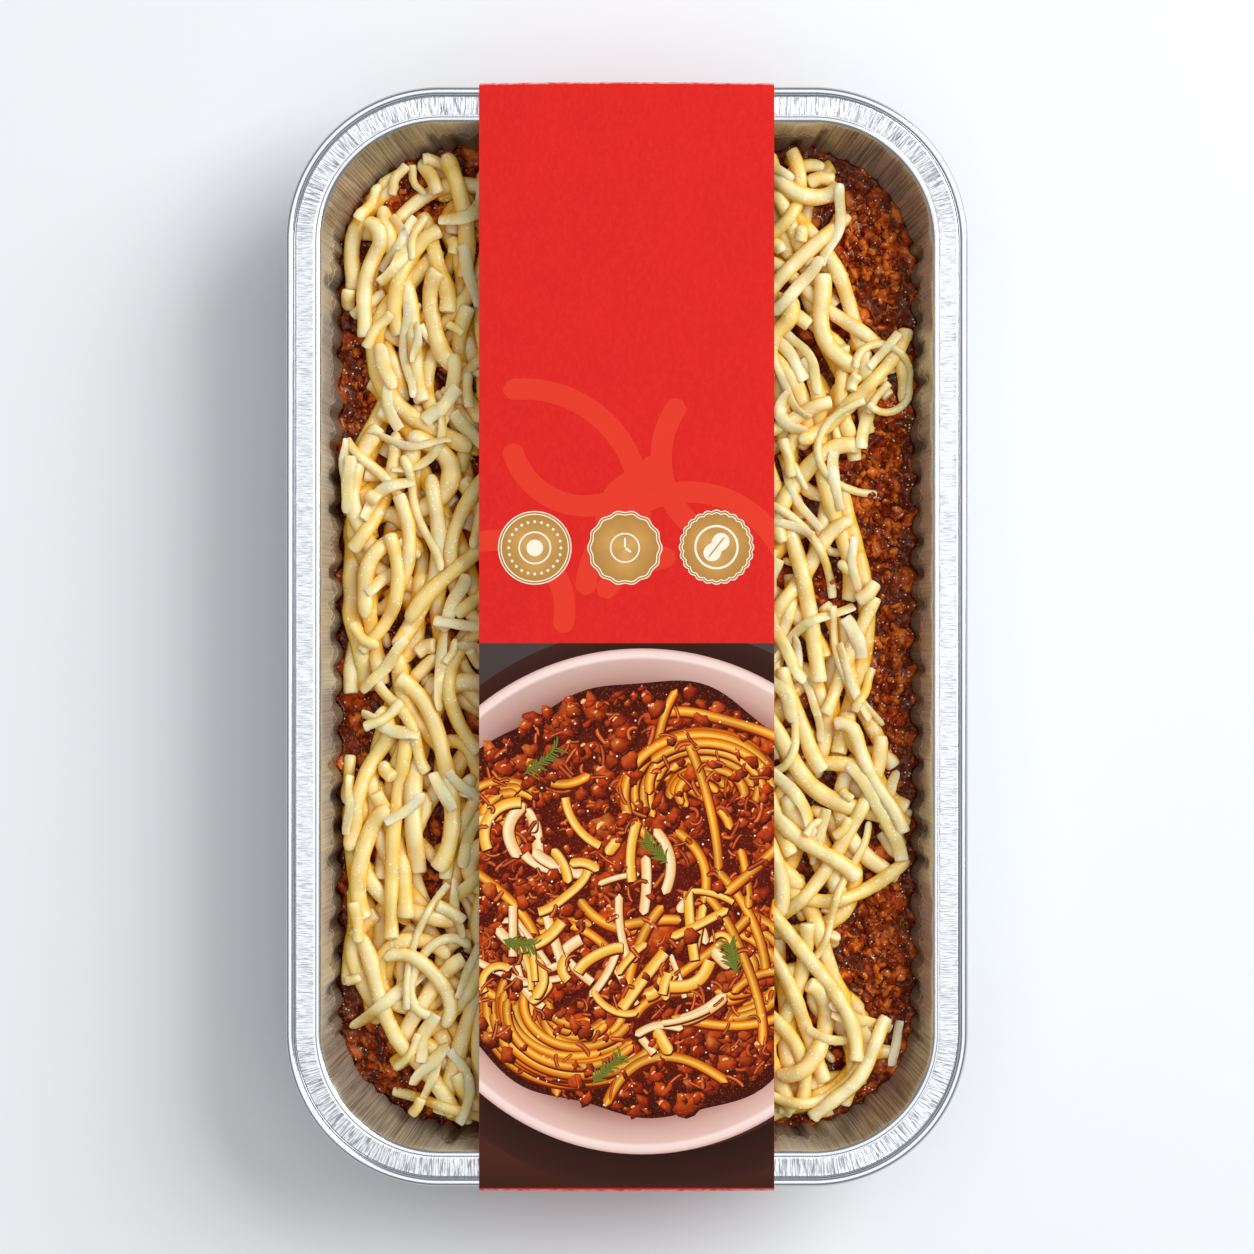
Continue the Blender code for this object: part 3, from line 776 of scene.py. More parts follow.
def strewn(tree, spacing, shape, seeds, turn, low, high):
    """Copies of a shape on the bare sauce, each turned and stretched in its own way, as real mesh."""
    given, vector = tree.given, {"data_type": "FLOAT_VECTOR"}
    bare = tree.stored("bare")
    places = tree.add("GeometryNodeDistributePointsOnFaces", {"distribute_method": "POISSON"}, {
        "Mesh": given["Geometry"], "Distance Min": spacing, "Density Max": 900000.0,
        "Density Factor": bare, "Seed": given["Seed"] + seeds[0],
    })
    copies = tree.add("GeometryNodeInstanceOnPoints", None, {"Points": places, "Instance": shape})
    back, seed = tuple(-angle for angle in turn), given["Seed"] + seeds[1]
    angles = tree.add("FunctionNodeRandomValue", vector, {0: back, 1: turn, "Seed": seed})
    turned = tree.add("GeometryNodeRotateInstances", None, {"Instances": copies, "Rotation": angles})
    stretch = tree.add("FunctionNodeRandomValue", vector, {0: low, 1: high, "Seed": seed + 1})
    grown = tree.scaled(stretch, tree.same_on_axes(given["Size"]))
    scaled = tree.add("GeometryNodeScaleInstances", None, {"Instances": turned, "Scale": grown})
    return tree.add("GeometryNodeRealizeInstances", None, {"Geometry": scaled})


def mince_maker(finish):
    sizes = {"Lump Spacing": 0.003, "Thread Spacing": 0.003, "Size": 0.002, "Seed": 1}
    tree = new_maker("strew_mince", **sizes)
    given, half_turn = tree.given, (3.14, 3.14, 3.14)
    pebble = tree.add("GeometryNodeMeshIcoSphere", None, {"Radius": 1.0, "Subdivisions": 2})
    small, large = (0.45, 0.40, 0.35), (1.20, 0.95, 0.85)
    lumps = strewn(tree, given["Lump Spacing"], pebble, (0, 0), half_turn, small, large)
    lumpy = tree.roughened(lumps, 620.0, 2.0, given["Size"])
    line = tree.add("GeometryNodeCurveArc", {"mode": "RADIUS"}, THREAD)
    ring = {"Resolution": 5, "Radius": 0.27}
    across = tree.add("GeometryNodeCurvePrimitiveCircle", {"mode": "RADIUS"}, ring)
    body = {"Curve": line, "Profile Curve": across, "Fill Caps": True}
    thread = tree.add("GeometryNodeCurveToMesh", None, body)
    flat_turn, short, long = (0.45, 0.45, 3.14), (0.50, 0.50, 0.9), (1.30, 1.05, 1.5)
    threads = strewn(tree, given["Thread Spacing"], thread, (7, 3), flat_turn, short, long)
    joined = tree.nodes.new("GeometryNodeJoinGeometry")
    for part in (threads, lumpy):
        tree.connect(joined.inputs[0], part)
    close_maker(tree, Wire(tree, joined.outputs[0]), finish)
    return tree


mince = run_maker(
    sauce, mince_maker(sauce_finish("mince_wet", True)),
    {"Lump Spacing": 0.0025, "Thread Spacing": 0.0025, "Size": 0.0021, "Seed": 4}, "mince_lumps")
hand_over(sauce, "meat_sauce")
hand_over(mince, "meat_sauce")

# %% [markdown]
# ## The shredded cheese
#
# A heap of shreds is hard to place by hand, so it is stacked as it was sprinkled. A map keeps the
# height of the food at every half millimetre. Each shred gets a plan, a gently bent line with now and
# then a hooked end. It is laid on the map, held up by what is under it and sagging a little between,
# and then raises the map for the next one. The result is a pile in which shreds cross and rest on
# each other.

# %% The height map
CELL = 0.0005
MAP_X = np.arange(-0.088, 0.088, CELL)
MAP_Y = np.arange(-0.149, 0.149, CELL)


def first_map():
    grid_x, grid_y = np.meshgrid(MAP_X, MAP_Y, indexing="ij")
    relief = mince_relief(grid_x.ravel(), grid_y.ravel()).reshape(grid_x.shape)
    return sauce_level(grid_x, grid_y) + relief


FOOD = first_map()


def map_cells(x, y):
    """Indices of the map's cells under some places."""
    columns = ((x - MAP_X[0]) / CELL).astype(int).clip(0, len(MAP_X) - 1)
    rows = ((y - MAP_Y[0]) / CELL).astype(int).clip(0, len(MAP_Y) - 1)
    return columns, rows


def disc(x, y, radius):
    """The part of the map under a disc, and each cell's distance from its middle."""
    column, row = (x - MAP_X[0]) / CELL, (y - MAP_Y[0]) / CELL
    reach = radius / CELL
    i0, i1 = max(0, int(column - reach)), min(len(MAP_X), int(column + reach) + 2)
    j0, j1 = max(0, int(row - reach)), min(len(MAP_Y), int(row + reach) + 2)
    gap = np.hypot(MAP_X[i0:i1, None] - x, MAP_Y[None, j0:j1] - y)
    return slice(i0, i1), slice(j0, j1), gap


def under_disc(x, y, radius):
    columns, rows, gap = disc(x, y, radius)
    below = FOOD[columns, rows][gap <= radius]
    return float(np.percentile(below, 88)) if below.size else SAUCE_Z


# %% Lay one shred
STEP = 0.0020
SAG = 0.00022


def plan_shred(draw, x, y, heading, length, bend, hook):
    """Points of a bent line through a place, turning by bend, with a hooked end if asked."""
    count = max(4, round(length / STEP))
    sway, late = draw.uniform(-1.1, 1.1), draw.uniform(0.70, 0.85)
    angle, place, points = heading - bend / 2, np.zeros(2), []
    for k in range(count + 1):
        points.append(place.copy())
        share = k / count
        turn = bend / count + sway * math.cos(2 * math.pi * share) * 2 * math.pi / count * 0.35
        if hook and share > late:
            turn += hook / (count * (1 - late))
        angle += turn
        place = place + np.array([math.cos(angle), math.sin(angle)]) * length / count
    points = np.array(points)
    return points - points[count // 2] + np.array([x, y])


def lay_shred(plan, width, thick, top_limit):
    """Heights of the shred's middle line on the map, or None if it would stand too high."""
    rest = np.array([under_disc(x, y, width * 0.38) for x, y in plan])
    line = rest.copy()
    for _ in range(40):
        ends = np.concatenate([[line[0]], line, [line[-1]]])
        line = np.maximum(rest, (ends[:-2] + ends[2:]) / 2 - SAG)
    middle = line + thick * 0.36
    if middle.max() + thick / 2 > top_limit:
        return None
    for (x, y), z in zip(plan, middle):
        columns, rows, gap = disc(x, y, width / 2)
        crown = z + thick / 2 * np.sqrt(np.clip(1 - (gap / (width / 2)) ** 2, 0.0, 1.0))
        before = FOOD[columns, rows]
        FOOD[columns, rows] = np.where(gap <= width / 2, np.maximum(before, crown), before)
    return middle


# %% [markdown]
# Shreds come in four kinds: long round ones, thin curls, flat ribbons with a twist, and short broken
# bits. They are laid in passes from the bottom up. Most of the long ones follow the tray's long side,
# more loosely on the right, and few are laid where the sauce stays bare. A shred that ends up low
# beside the foil is moved in a little, because the wall leans and stands closer further down.

# %% Sprinkle the heap
KINDS = {
    kind: {"length": length, "width": width, "flat": flat, "bend": bend, "twist": twist}
    for kind, length, width, flat, bend, twist in (
        ("long", (0.030, 0.090), (0.0040, 0.0054), (0.54, 0.66), 2.6, 0.25),
        ("curl", (0.030, 0.060), (0.0022, 0.0036), (0.50, 0.66), 4.0, 0.6),
        ("ribbon", (0.012, 0.034), (0.0024, 0.0042), (0.26, 0.38), 2.2, 1.0),
        ("short", (0.0036, 0.0150), (0.0022, 0.0044), (0.55, 0.75), 1.2, 0.4),
    )
}


def draw_place(draw, zone):
    x = {
        "left": draw.uniform(-0.087, -0.040),
        "right": draw.uniform(0.040, 0.087),
        "middle": draw.uniform(-0.042, 0.042),
    }[zone]
    return x, draw.uniform(-0.142, 0.142)


def food_under(plan):
    return float(np.percentile(FOOD[map_cells(plan[:, 0], plan[:, 1])], 80))


def draw_plan(draw, kind, zone, width, bare_limit):
    """A plan that stays inside the foil and off the bare sauce, or None."""
    rules = KINDS[kind]
    x, y = draw_place(draw, zone)
    spread = {"left": 0.75, "right": 1.15, "middle": 1.6}[zone] if kind == "long" else 1.57
    heading = math.pi / 2 + draw.gauss(0, spread * 0.55)
    length = draw.uniform(*rules["length"])
    bend = draw.gauss(0, rules["bend"] * 0.6) * min(1.0, length / 0.03)
    hook = draw.choice((-1, 1)) * draw.uniform(1.2, 3.0) if kind == "long" and draw.random() < 0.32 else 0.0
    plan = plan_shred(draw, x, y, heading, length, bend, hook)
    room = inside_wall(plan[:, 0], plan[:, 1], SAUCE_Z - BASE_Z + 0.005)
    if room.min() < width * 0.45 or bare_share(plan[:, 0], plan[:, 1]).mean() > bare_limit:
        return None
    return plan


CHOICES = 6


def sprinkle(draw, kind, zone, count, top_limit, bare_limit):
    """Lays shreds one by one, each on the lowest of a few places drawn for it."""
    rules, laid = KINDS[kind], []
    for _ in range(count):
        width = draw.uniform(*rules["width"])
        drawn = [draw_plan(draw, kind, zone, width, bare_limit) for _ in range(CHOICES * 3)]
        plans = sorted([plan for plan in drawn if plan is not None][:CHOICES], key=food_under)
        thick = width * draw.uniform(*rules["flat"])
        for plan in plans[:3]:
            middle = lay_shred(plan, width, thick, top_limit)
            if middle is not None:
                laid.append({
                    "plan": plan, "middle": middle, "width": width, "thick": thick,
                    "twist": draw.uniform(-1, 1) * rules["twist"], "kind": kind,
                    "tone": draw.random() * 0.8 + (0.2 if kind in ("ribbon", "curl") else 0.0),
                })
                break
    return laid


def fill_heap():
    draw = random.Random(21)
    low, top = SAUCE_Z + 0.0068, HEAP_TOP_Z - 0.0002
    laid = []
    for zone, count in (("middle", 90), ("left", 170), ("right", 150)):
        laid += sprinkle(draw, "long", zone, count, low, 0.20)
        laid += sprinkle(draw, "short", zone, count // 4, low, 0.25)
    print("first courses", len(laid), "shreds")
    for course in range(4):
        for zone, count in (("middle", 10), ("left", 70), ("right", 62)):
            laid += sprinkle(draw, "long", zone, count, top, 0.18)
            laid += sprinkle(draw, "curl", zone, count // 12, top, 0.30)
            laid += sprinkle(draw, "ribbon", zone, count // 7, top, 0.30)
            laid += sprinkle(draw, "short", zone, count // 9, top, 0.40)
        print("course", course, "makes", len(laid), "shreds")
    return laid


def keep_inside(shred):
    """Moves a low shred in from the foil, which stands closer further down."""
    x, y, height = shred["plan"][:, 0], shred["plan"][:, 1], shred["middle"] - BASE_Z
    room, nudge = inside_wall(x, y, height), 1e-5
    short = np.clip(shred["width"] / 2 + 0.0002 - room, 0.0, None)
    more_x, more_y = inside_wall(x + nudge, y, height) - room, inside_wall(x, y + nudge, height) - room
    shred["plan"] = shred["plan"] + np.column_stack([more_x, more_y]) / nudge * short[:, None]
    return short.max()


SHREDS = fill_heap()
moved = [keep_inside(shred) for shred in SHREDS]
print(sum(way > 0 for way in moved), "shreds moved in, at most", round(max(moved) * 1000, 2), "mm")
print(len(SHREDS), "shreds,", {kind: sum(s["kind"] == kind for s in SHREDS) for kind in KINDS})

# %% [markdown]
# How deep a shred lies under the finished heap is kept as a number at every point. Buried shreds look
# darker and more mustard than the ones on top, because light only reaches them through the others.

# %% Shred courses as one mesh of edges
ROUND_END = ((0.0, 0.46), (0.22, 0.76), (0.50, 0.93), (0.80, 0.99))
CUT_END = ((0.0, 0.84), (0.08, 0.95), (0.25, 1.0))


def with_ends(shred):
    """The course with extra places near both ends: position along it and share of the girth there."""
    last = len(shred["plan"]) - 1
    reach = shred["width"] / 2 / STEP * 1.6
    ends = [CUT_END if shred["tone"] * prime % 1 < 0.7 else ROUND_END for prime in (7, 13)]
    start = [(share * reach, girth) for share, girth in ends[0]]
    finish = [(last - share * reach, girth) for share, girth in ends[1]]
    inner = [(float(k), 1.0) for k in range(1, last) if start[-1][0] + 0.3 < k < finish[-1][0] - 0.3]
    return start + inner + finish[::-1]


def course_object(kind, name):
    """The middle lines of all shreds of a kind, with a few numbers at every point."""
    points, edges, values = [], [], {"girth": [], "twist": [], "tone": [], "deep": [], "end": []}
    for shred in SHREDS:
        if shred["kind"] != kind:
            continue
        places = with_ends(shred)
        along = np.array([place for place, _ in places])
        known = np.arange(len(shred["plan"]))
        x, y = (np.interp(along, known, shred["plan"][:, axis]) for axis in (0, 1))
        z = np.interp(along, known, shred["middle"])
        uneven = fine_relief(x, y, 0.007, shred["tone"] * 50)
        over = FOOD[map_cells(x, y)] - z - shred["thick"] / 2
        start, last = len(points), known[-1]
        points += list(zip(x, y, z))
        edges += [(start + k, start + k + 1) for k in range(len(places) - 1)]
        from_end = np.minimum(along, last - along) * STEP
        girth = np.array([share for _, share in places])
        values["girth"] += list(shred["width"] * girth * (1 + 0.16 * uneven))
        values["twist"] += list(shred["twist"] * (along / last - 0.5) * 2)
        values["tone"] += [shred["tone"]] * len(places)
        values["deep"] += list(np.maximum(0.0, over))
        values["end"] += list(np.clip(1 - from_end / 0.003, 0.0, 1.0))
    mesh = bpy.data.meshes.new(name)
    mesh.from_pydata(points, edges, [])
    made = linked(name, mesh)
    for key, numbers in values.items():
        add_values(made, key, numbers)
    return made


# %% [markdown]
# Geometry Nodes then give every course its body: the edges become curves, a rounded profile runs
# along them at each point's own girth and twist, and a little noise makes the skin uneven.

# %% Shred maker
def shred_maker(finish):
    tree = new_maker("bodies_along_courses", Sides=10, Flatness=0.85, Unevenness=0.0003)
    given = tree.given
    curve = tree.add("GeometryNodeMeshToCurve", None, {"Mesh": given["Geometry"]})
    level = tree.add("GeometryNodeSetCurveNormal", {"mode": "Z_UP"}, {"Curve": curve})
    turned = tree.add("GeometryNodeSetCurveTilt", None, {"Curve": level, "Tilt": tree.stored("twist")})
    sizes = {"Resolution": given["Sides"], "Radius": 0.5}
    circle = tree.add("GeometryNodeCurvePrimitiveCircle", {"mode": "RADIUS"}, sizes)
    oval = tree.add("ShaderNodeCombineXYZ", None, {0: 1.0, 1: given["Flatness"], 2: 1.0})
    profile = tree.add("GeometryNodeTransform", None, {"Geometry": circle, "Scale": oval})
    along = {"Curve": turned, "Profile Curve": profile, "Scale": tree.stored("girth"), "Fill Caps": True}
    body = tree.add("GeometryNodeCurveToMesh", None, along)
    uneven = tree.roughened(body, 260.0, 1.0, given["Unevenness"] * 2.0)
    close_maker(tree, uneven, finish)
    return tree


# %% [markdown]
# Cheese is pale and lets light in a little, so the finish has some subsurface. Its sides and the
# buried shreds get painted shade, a deeper gold. Small white specks of frost lie on it in patches,
# with a few pits painted dark as the shade inside them.
# The ends are a little whiter and drier.

# %% Cheese finish
def cheese_finish():
    cheese = Finish("shredded_cheese")
    hue, deep, end = cheese.value_of("tone"), cheese.value_of("deep"), cheese.value_of("end")
    mottle = cheese.grain(cheese.place, 0.0060, 2.0)
    fine = cheese.grain(cheese.place, 0.00090, 3.0, 0.6)
    dots = cheese.cells(cheese.place, 0.00135)
    where = cheese.grain(cheese.place, 0.0045, 1.0)
    frost = (1 - dots.between(0.16, 0.28)) * where.between(0.47, 0.55)
    # Painted shade: small dark spots stand in for the shade inside pits.
    pit_shade = 1 - cheese.cells(cheese.place, 0.0034).between(0.03, 0.07)
    colour = cheese.coated(
        tone(250, 210, 132), (hue, tone(253, 231, 188)),
        (mottle.between(0.35, 0.70) * 0.35, tone(248, 202, 104)),
        # Painted shade: the sides, which turn from the light above, are painted a deeper gold.
        ((1 - cheese.facing.part("Z").between(0.50, 1.0)) * 0.85, tone(254, 192, 52)),
        # Painted shade: buried shreds are painted mustard gold by how deep they lie.
        (end * 0.35, tone(255, 246, 216)), (deep.between(0.0, 0.0045) * 0.90, tone(255, 184, 22)),
        (frost * 0.90, tone(255, 253, 244)), (pit_shade * 0.5, tone(120, 70, 20)))
    skin = cheese.relief(mottle, 0.0006)
    grain = cheese.relief(fine, 0.00007, skin)
    cheese.set(Base_Color=colour, Roughness=0.24 + fine * 0.12, Normal=grain, Subsurface_Weight=0.6)
    cheese.set(Subsurface_Radius=(1.0, 0.62, 0.25), Subsurface_Scale=0.0050, Specular_IOR_Level=0.45)
    return cheese.material


CHEESE = cheese_finish()
MAKER = shred_maker(CHEESE)
for piece_name, kind, sides, flatness, unevenness in (
    ("cheese_long_shreds", "long", 10, 0.68, 0.00022),
    ("cheese_curls", "curl", 8, 0.62, 0.00012),
    ("cheese_ribbons", "ribbon", 10, 0.28, 0.00012),
    ("cheese_short_bits", "short", 8, 0.72, 0.00030),
):
    courses = course_object(kind, piece_name + "_courses")
    sizes = {"Sides": sides, "Flatness": flatness, "Unevenness": unevenness}
    bodies = run_maker(courses, MAKER, sizes, piece_name)
    bpy.data.objects.remove(courses)
    hand_over(bodies, "cheese_shreds")

# %% [markdown]
# ## The board sleeve
#
# The sleeve is one strip of thin board, folded at four edges into a band that goes lengthwise round
# the tray. It is made as an outer and an inner skin from one end view, carried across the band's
# width. Its ends bow outwards a little in the middle, as a board held by its two edges does.

# %% Board sizes
SLEEVE_TOP_Z = SLEEVE_BOX[1][2] - 0.0003
BOARD = 0.0004
FOLD_RADIUS = 0.0014
HALF_TOP, HALF_BASE = 0.1622, 0.1395
GLUE_FLAP = 0.0150
BOW = {1: 0.0004, -1: 0.0002}


def end_view():
    """Points round the band's outer side, as (y, z, outward y, outward z, how much of a fold)."""
    corners = [
        Vector((HALF_TOP, SLEEVE_TOP_Z)), Vector((HALF_BASE, 0.0)),
        Vector((-HALF_BASE, 0.0)), Vector((-HALF_TOP, SLEEVE_TOP_Z)),
    ]
    rows = []
    for index, corner in enumerate(corners):
        arriving = (corner - corners[index - 1]).normalized()
        leaving = (corners[(index + 1) % 4] - corner).normalized()
        start = math.atan2(arriving.y, arriving.x)
        turn = abs(arriving.angle_signed(leaving))
        back = FOLD_RADIUS * math.tan(turn / 2)
        centre = corner - arriving * back + Vector((arriving.y, -arriving.x)) * FOLD_RADIUS
        for step in range(9):
            angle = start - turn * step / 8
            out = Vector((-math.sin(angle), math.cos(angle)))
            place = centre + out * FOLD_RADIUS
            rows.append((place.x, place.y, out.x, out.y, 1 - abs(step - 4) / 4.5))
        following = corners[(index + 1) % 4]
        out = Vector((-leaving.y, leaving.x))
        span = (following - corner).length
        count = max(4, round(span / 0.006))
        for step in range(1, count):
            place = corner + leaving * (span * step / count)
            rows.append((place.x, place.y, out.x, out.y, 0.0))
    return rows


# %% Fold the board
def bowed(x, y):
    """Ends stand out most in the middle of the band."""
    share = min(1.0, max(0.0, (abs(y) - 0.110) / 0.050))
    side = 1 if y > 0 else -1
    return y - side * BOW[side] * (2 * x / SLEEVE_WIDTH) ** 2 * share ** 2


def make_sleeve(finish):
    rows = end_view()
    columns = np.linspace(-SLEEVE_WIDTH / 2, SLEEVE_WIDTH / 2, 25)
    points, sides, folds, faces = [], [], [], []
    for layer in (0, 1):
        for y, z, out_y, out_z, fold in rows:
            depth = BOARD * layer
            if layer and -0.1465 < y < -HALF_BASE and 0.001 < z < GLUE_FLAP:
                depth = BOARD * 2
            for x in columns:
                points.append((x, bowed(x, y) - out_y * depth, z - out_z * depth))
                sides.append(1.0 - layer)
                folds.append(fold)
    width, count = len(columns), len(rows)
    for layer in (0, 1):
        for row in range(count):
            here = (layer * count + row) * width
            there = (layer * count + (row + 1) % count) * width
            for k in range(width - 1):
                quad = (here + k, here + k + 1, there + k + 1, there + k)
                faces.append(quad if layer else quad[::-1])
    for row in range(count):
        for edge in (0, width - 1):
            a, b = row * width + edge, (row + 1) % count * width + edge
            c, d = b + count * width, a + count * width
            faces.append((a, b, c, d) if edge else (d, c, b, a))
    sleeve = piece_from("board_band", points, faces, finish, 35.0)
    made = bmesh.new()
    made.from_mesh(sleeve.data)
    bmesh.ops.recalc_face_normals(made, faces=made.faces)
    made.to_mesh(sleeve.data)
    made.free()
    add_values(sleeve, "outer", sides)
    add_values(sleeve, "fold", folds)
    return sleeve


# %% [markdown]
# Red ink covers the outside, the inside is bare grey-white board, and the cut edges are pale. A pale,
# broken line runs along the top folds. Where the outside faces down, painted shade darkens its red. A
# very faint fibre texture keeps the large flat areas from looking like plastic.

# %% Board finishes
INK_RED = tone(217, 24, 17)


def board_surface(board, colour, shine=0.16):
    fibres = board.grain(board.scaled(board.place, (1.0, 0.35, 1.0)), 0.00055, 3.0, 0.6)
    waves = board.grain(board.place, 0.035, 1.0)
    feel = board.relief(waves, 0.0012)
    board.set(Base_Color=colour, Roughness=0.40 + fibres * 0.10, Normal=board.relief(fibres, 0.00003, feel))
    board.set(Specular_IOR_Level=shine)
    return board.material


def board_finish():
    board = Finish("red_printed_board")
    outer, fold = board.value_of("outer"), board.value_of("fold")
    cut = board.facing.part("X").size().between(0.80, 0.95)
    cloud = board.grain(board.place, 0.012, 3.0)
    mottled = board.grain(board.scaled(board.place, (1.0, 0.6, 1.0)), 0.0013, 4.0, 0.7)
    crease_breaks = board.grain(board.scaled(board.place, (1.0, 2.0, 2.0)), 0.0022, 4.0, 0.65)
    # A pale, broken line along the top folds.
    crease = fold.between(0.45, 0.95) * crease_breaks.between(0.34, 0.62) * board.place.part("Z").between(0.030, 0.040)
    printed = board.coated(
        INK_RED, (cloud.between(0.3, 0.7) * 0.35, tone(206, 18, 12)),
        (mottled.between(0.40, 0.66) * 0.40, tone(226, 40, 30)), (crease * 0.75, tone(246, 214, 206)))
    raw = board.mix(cloud, tone(205, 200, 192), tone(188, 182, 172))
    # Painted shade: where the printed outside faces down, its red is darker.
    under = 1 - board.facing.part("Z").between(-0.5, -0.2)
    colour = board.coated(
        raw, (outer.between(0.45, 0.55), printed), (cut, tone(226, 214, 206)),
        (under * outer * 0.8, tone(140, 16, 12)))
    return board_surface(board, colour)


sleeve = make_sleeve(board_finish())
hand_over(sleeve, "board_sleeve")

# %% [markdown]
# ## The print
#
# The sleeve's top is printed in two fields: plain red with pale bars and three gold seals, and a
# picture of a served bowl. A print is flat colour, so it is drawn as flat shapes lying a few
# thousandths of a millimetre over each other, each with its own ink at every point. Each shape goes
# just above those that it overlaps. Drawing with shapes, rather than an image, keeps edges sharp.

# %% Print in layers
class Print:
    """Flat shapes over one field of the board, given by its low and high corners."""

    def __init__(self, name, low, high):
        self.name, self.low, self.high = name, low, high
        self.points, self.faces, self.inks, self.grits, self.levels = [], [], [], [], {}
        self.top = 0

    def add(self, places, faces, inks, grit=0.0, floor=1):
        cells = {(round(x / 0.0011), round(y / 0.0011)) for x, y in places}
        level = max(floor, 1 + max(self.levels.get(cell, 0) for cell in cells))
        for cell in cells:
            self.levels[cell] = level
        self.top = max(self.top, level)
        start = len(self.points)
        self.points += [(x, y, level) for x, y in places]
        self.faces += [tuple(start + k for k in face) for face in faces]
        self.inks += list(inks)
        self.grits += [grit] * len(places)

    def finish(self, material, low_z, high_z):
        step = min(0.000008, (high_z - low_z) / (self.top + 1))
        mesh = bpy.data.meshes.new(self.name)
        mesh.from_pydata([(x, y, low_z + level * step) for x, y, level in self.points], [], self.faces)
        piece = linked(self.name, mesh)
        add_values(piece, "ink", [(*ink, 1.0) for ink in self.inks], "FLOAT_COLOR")
        add_values(piece, "grit", self.grits)
        made = bmesh.new()
        made.from_mesh(mesh)
        for corner, sign in ((self.low, -1), (self.high, 1)):
            for axis in ((1, 0, 0), (0, 1, 0)):
                cut = {"plane_co": (*corner, 0), "plane_no": tuple(sign * a for a in axis)}
                parts = made.verts[:] + made.edges[:] + made.faces[:]
                bmesh.ops.bisect_plane(made, geom=parts, clear_outer=True, **cut)
        made.normal_update()
        for face in made.faces:
            if face.normal.z < 0:
                face.normal_flip()
        made.to_mesh(mesh)
        made.free()
        mesh.materials.append(material)
        print(self.name, "has", self.top, "levels of", round(step * 1e6, 1), "thousandths of a millimetre")
        return piece


# %% [markdown]
# Three kinds of shape draw everything: a rectangle, a ring or disc whose ink changes with its radius,
# and a ribbon along a path whose ink changes across it. The last one gives noodles and cheese strips
# their bright middle and dark edges.

# %% Shapes
def blend_ink(first, second, share):
    return tuple(a + (b - a) * share for a, b in zip(first, second))


def ink_ramp(stops, share):
    for (low, first), (high, second) in zip(stops, stops[1:]):
        if share <= high:
            return blend_ink(first, second, max(0.0, (share - low) / max(1e-9, high - low)))
    return stops[-1][1]


def add_rectangle(sheet, low, high, stops, rows):
    """A rectangle whose ink changes along Y."""
    places, inks = [], []
    for row in range(rows):
        share = row / (rows - 1)
        y = low[1] + (high[1] - low[1]) * share
        places += [(low[0], y), (high[0], y)]
        inks += [ink_ramp(stops, share)] * 2
    faces = [(2 * row, 2 * row + 1, 2 * row + 3, 2 * row + 2) for row in range(rows - 1)]
    sheet.add(places, faces, inks)


def add_ring(sheet, centre, outline, rings, segments=72, floor=1, grit=0.0, lit=None):
    """Rings of (share of the outline, ink); outline gives the radius, and lit the light, at each angle."""
    places, inks = [], []
    for share, ink in rings:
        for k in range(segments):
            angle = 2 * math.pi * k / segments
            reach = outline(angle) * share
            places.append((centre[0] + math.cos(angle) * reach, centre[1] + math.sin(angle) * reach))
            light = lit(angle) if lit and share < 0.96 else 1.0
            inks.append(tuple(c * light for c in ink))
    faces = ring_faces(len(rings), segments)
    if rings[0][0] < 0.2:
        faces.append(tuple(range(segments)))
    sheet.add(places, faces, inks, grit, floor)


def add_disc(sheet, centre, outline, ink, segments, floor):
    """A shape of one ink; outline gives its radius at each angle."""
    add_ring(sheet, centre, outline, ((0.05, ink), (1.0, ink)), segments, floor)


def add_ribbon(sheet, path, width, across, round_ends=True, floor=1, grit=0.0, along=None):
    """A ribbon whose ink across comes from stops at -1 to 1, darkened by the values along it."""
    path = np.asarray(path, dtype=float)
    run = np.gradient(path, axis=0)
    run /= np.maximum(np.linalg.norm(run, axis=1), 1e-12)[:, None]
    side = np.column_stack([-run[:, 1], run[:, 0]])
    gone = np.concatenate([[0.0], np.cumsum(np.linalg.norm(np.diff(path, axis=0), axis=1))])
    places, inks, faces = [], [], []
    for k, point in enumerate(path):
        from_end = min(gone[k], gone[-1] - gone[k])
        half = width / 2
        if round_ends:
            half *= math.sqrt(max(0.02, 1 - max(0.0, 1 - from_end / half) ** 2))
        for place, ink in across:
            places.append(tuple(point + side[k] * half * place))
            shade = 1.0 if along is None else float(along[k])
            inks.append(tuple(c * shade for c in ink))
    count = len(across)
    for row in range(len(path) - 1):
        for k in range(count - 1):
            a = row * count + k
            faces.append((a, a + 1, a + 1 + count, a + count))
    sheet.add(places, faces, inks, grit, floor)


def arc(centre, radius, start, sweep, count):
    angles = np.radians(start + sweep * np.linspace(0, 1, count))
    return np.column_stack([centre[0] + radius * np.cos(angles), centre[1] + radius * np.sin(angles)])


def line_from(place, angle, ways):
    """Points at some distances from a place along one direction."""
    return np.column_stack([place[0] + math.cos(angle) * ways, place[1] + math.sin(angle) * ways])


# %% [markdown]
# The upper field's pale bars are wide, round-ended arcs in a red only a little lighter than the
# board. Over them lie the seals: gold discs with a plain, a waved and a scalloped edge, each ringed
# in cream, with a ring of dots round a disc, a clock face and a bean shape in them.

# %% Upper field
HALF_FIELD = SLEEVE_WIDTH / 2 - 0.00004
FIELD_SPLIT_Y = -0.0019
TOP_FIELD_Y, FOOT_FIELD_Y = 0.1590, -0.1602
PALE_RED, GOLD, CREAM = tone(226, 58, 40), tone(196, 148, 80), tone(246, 238, 218)


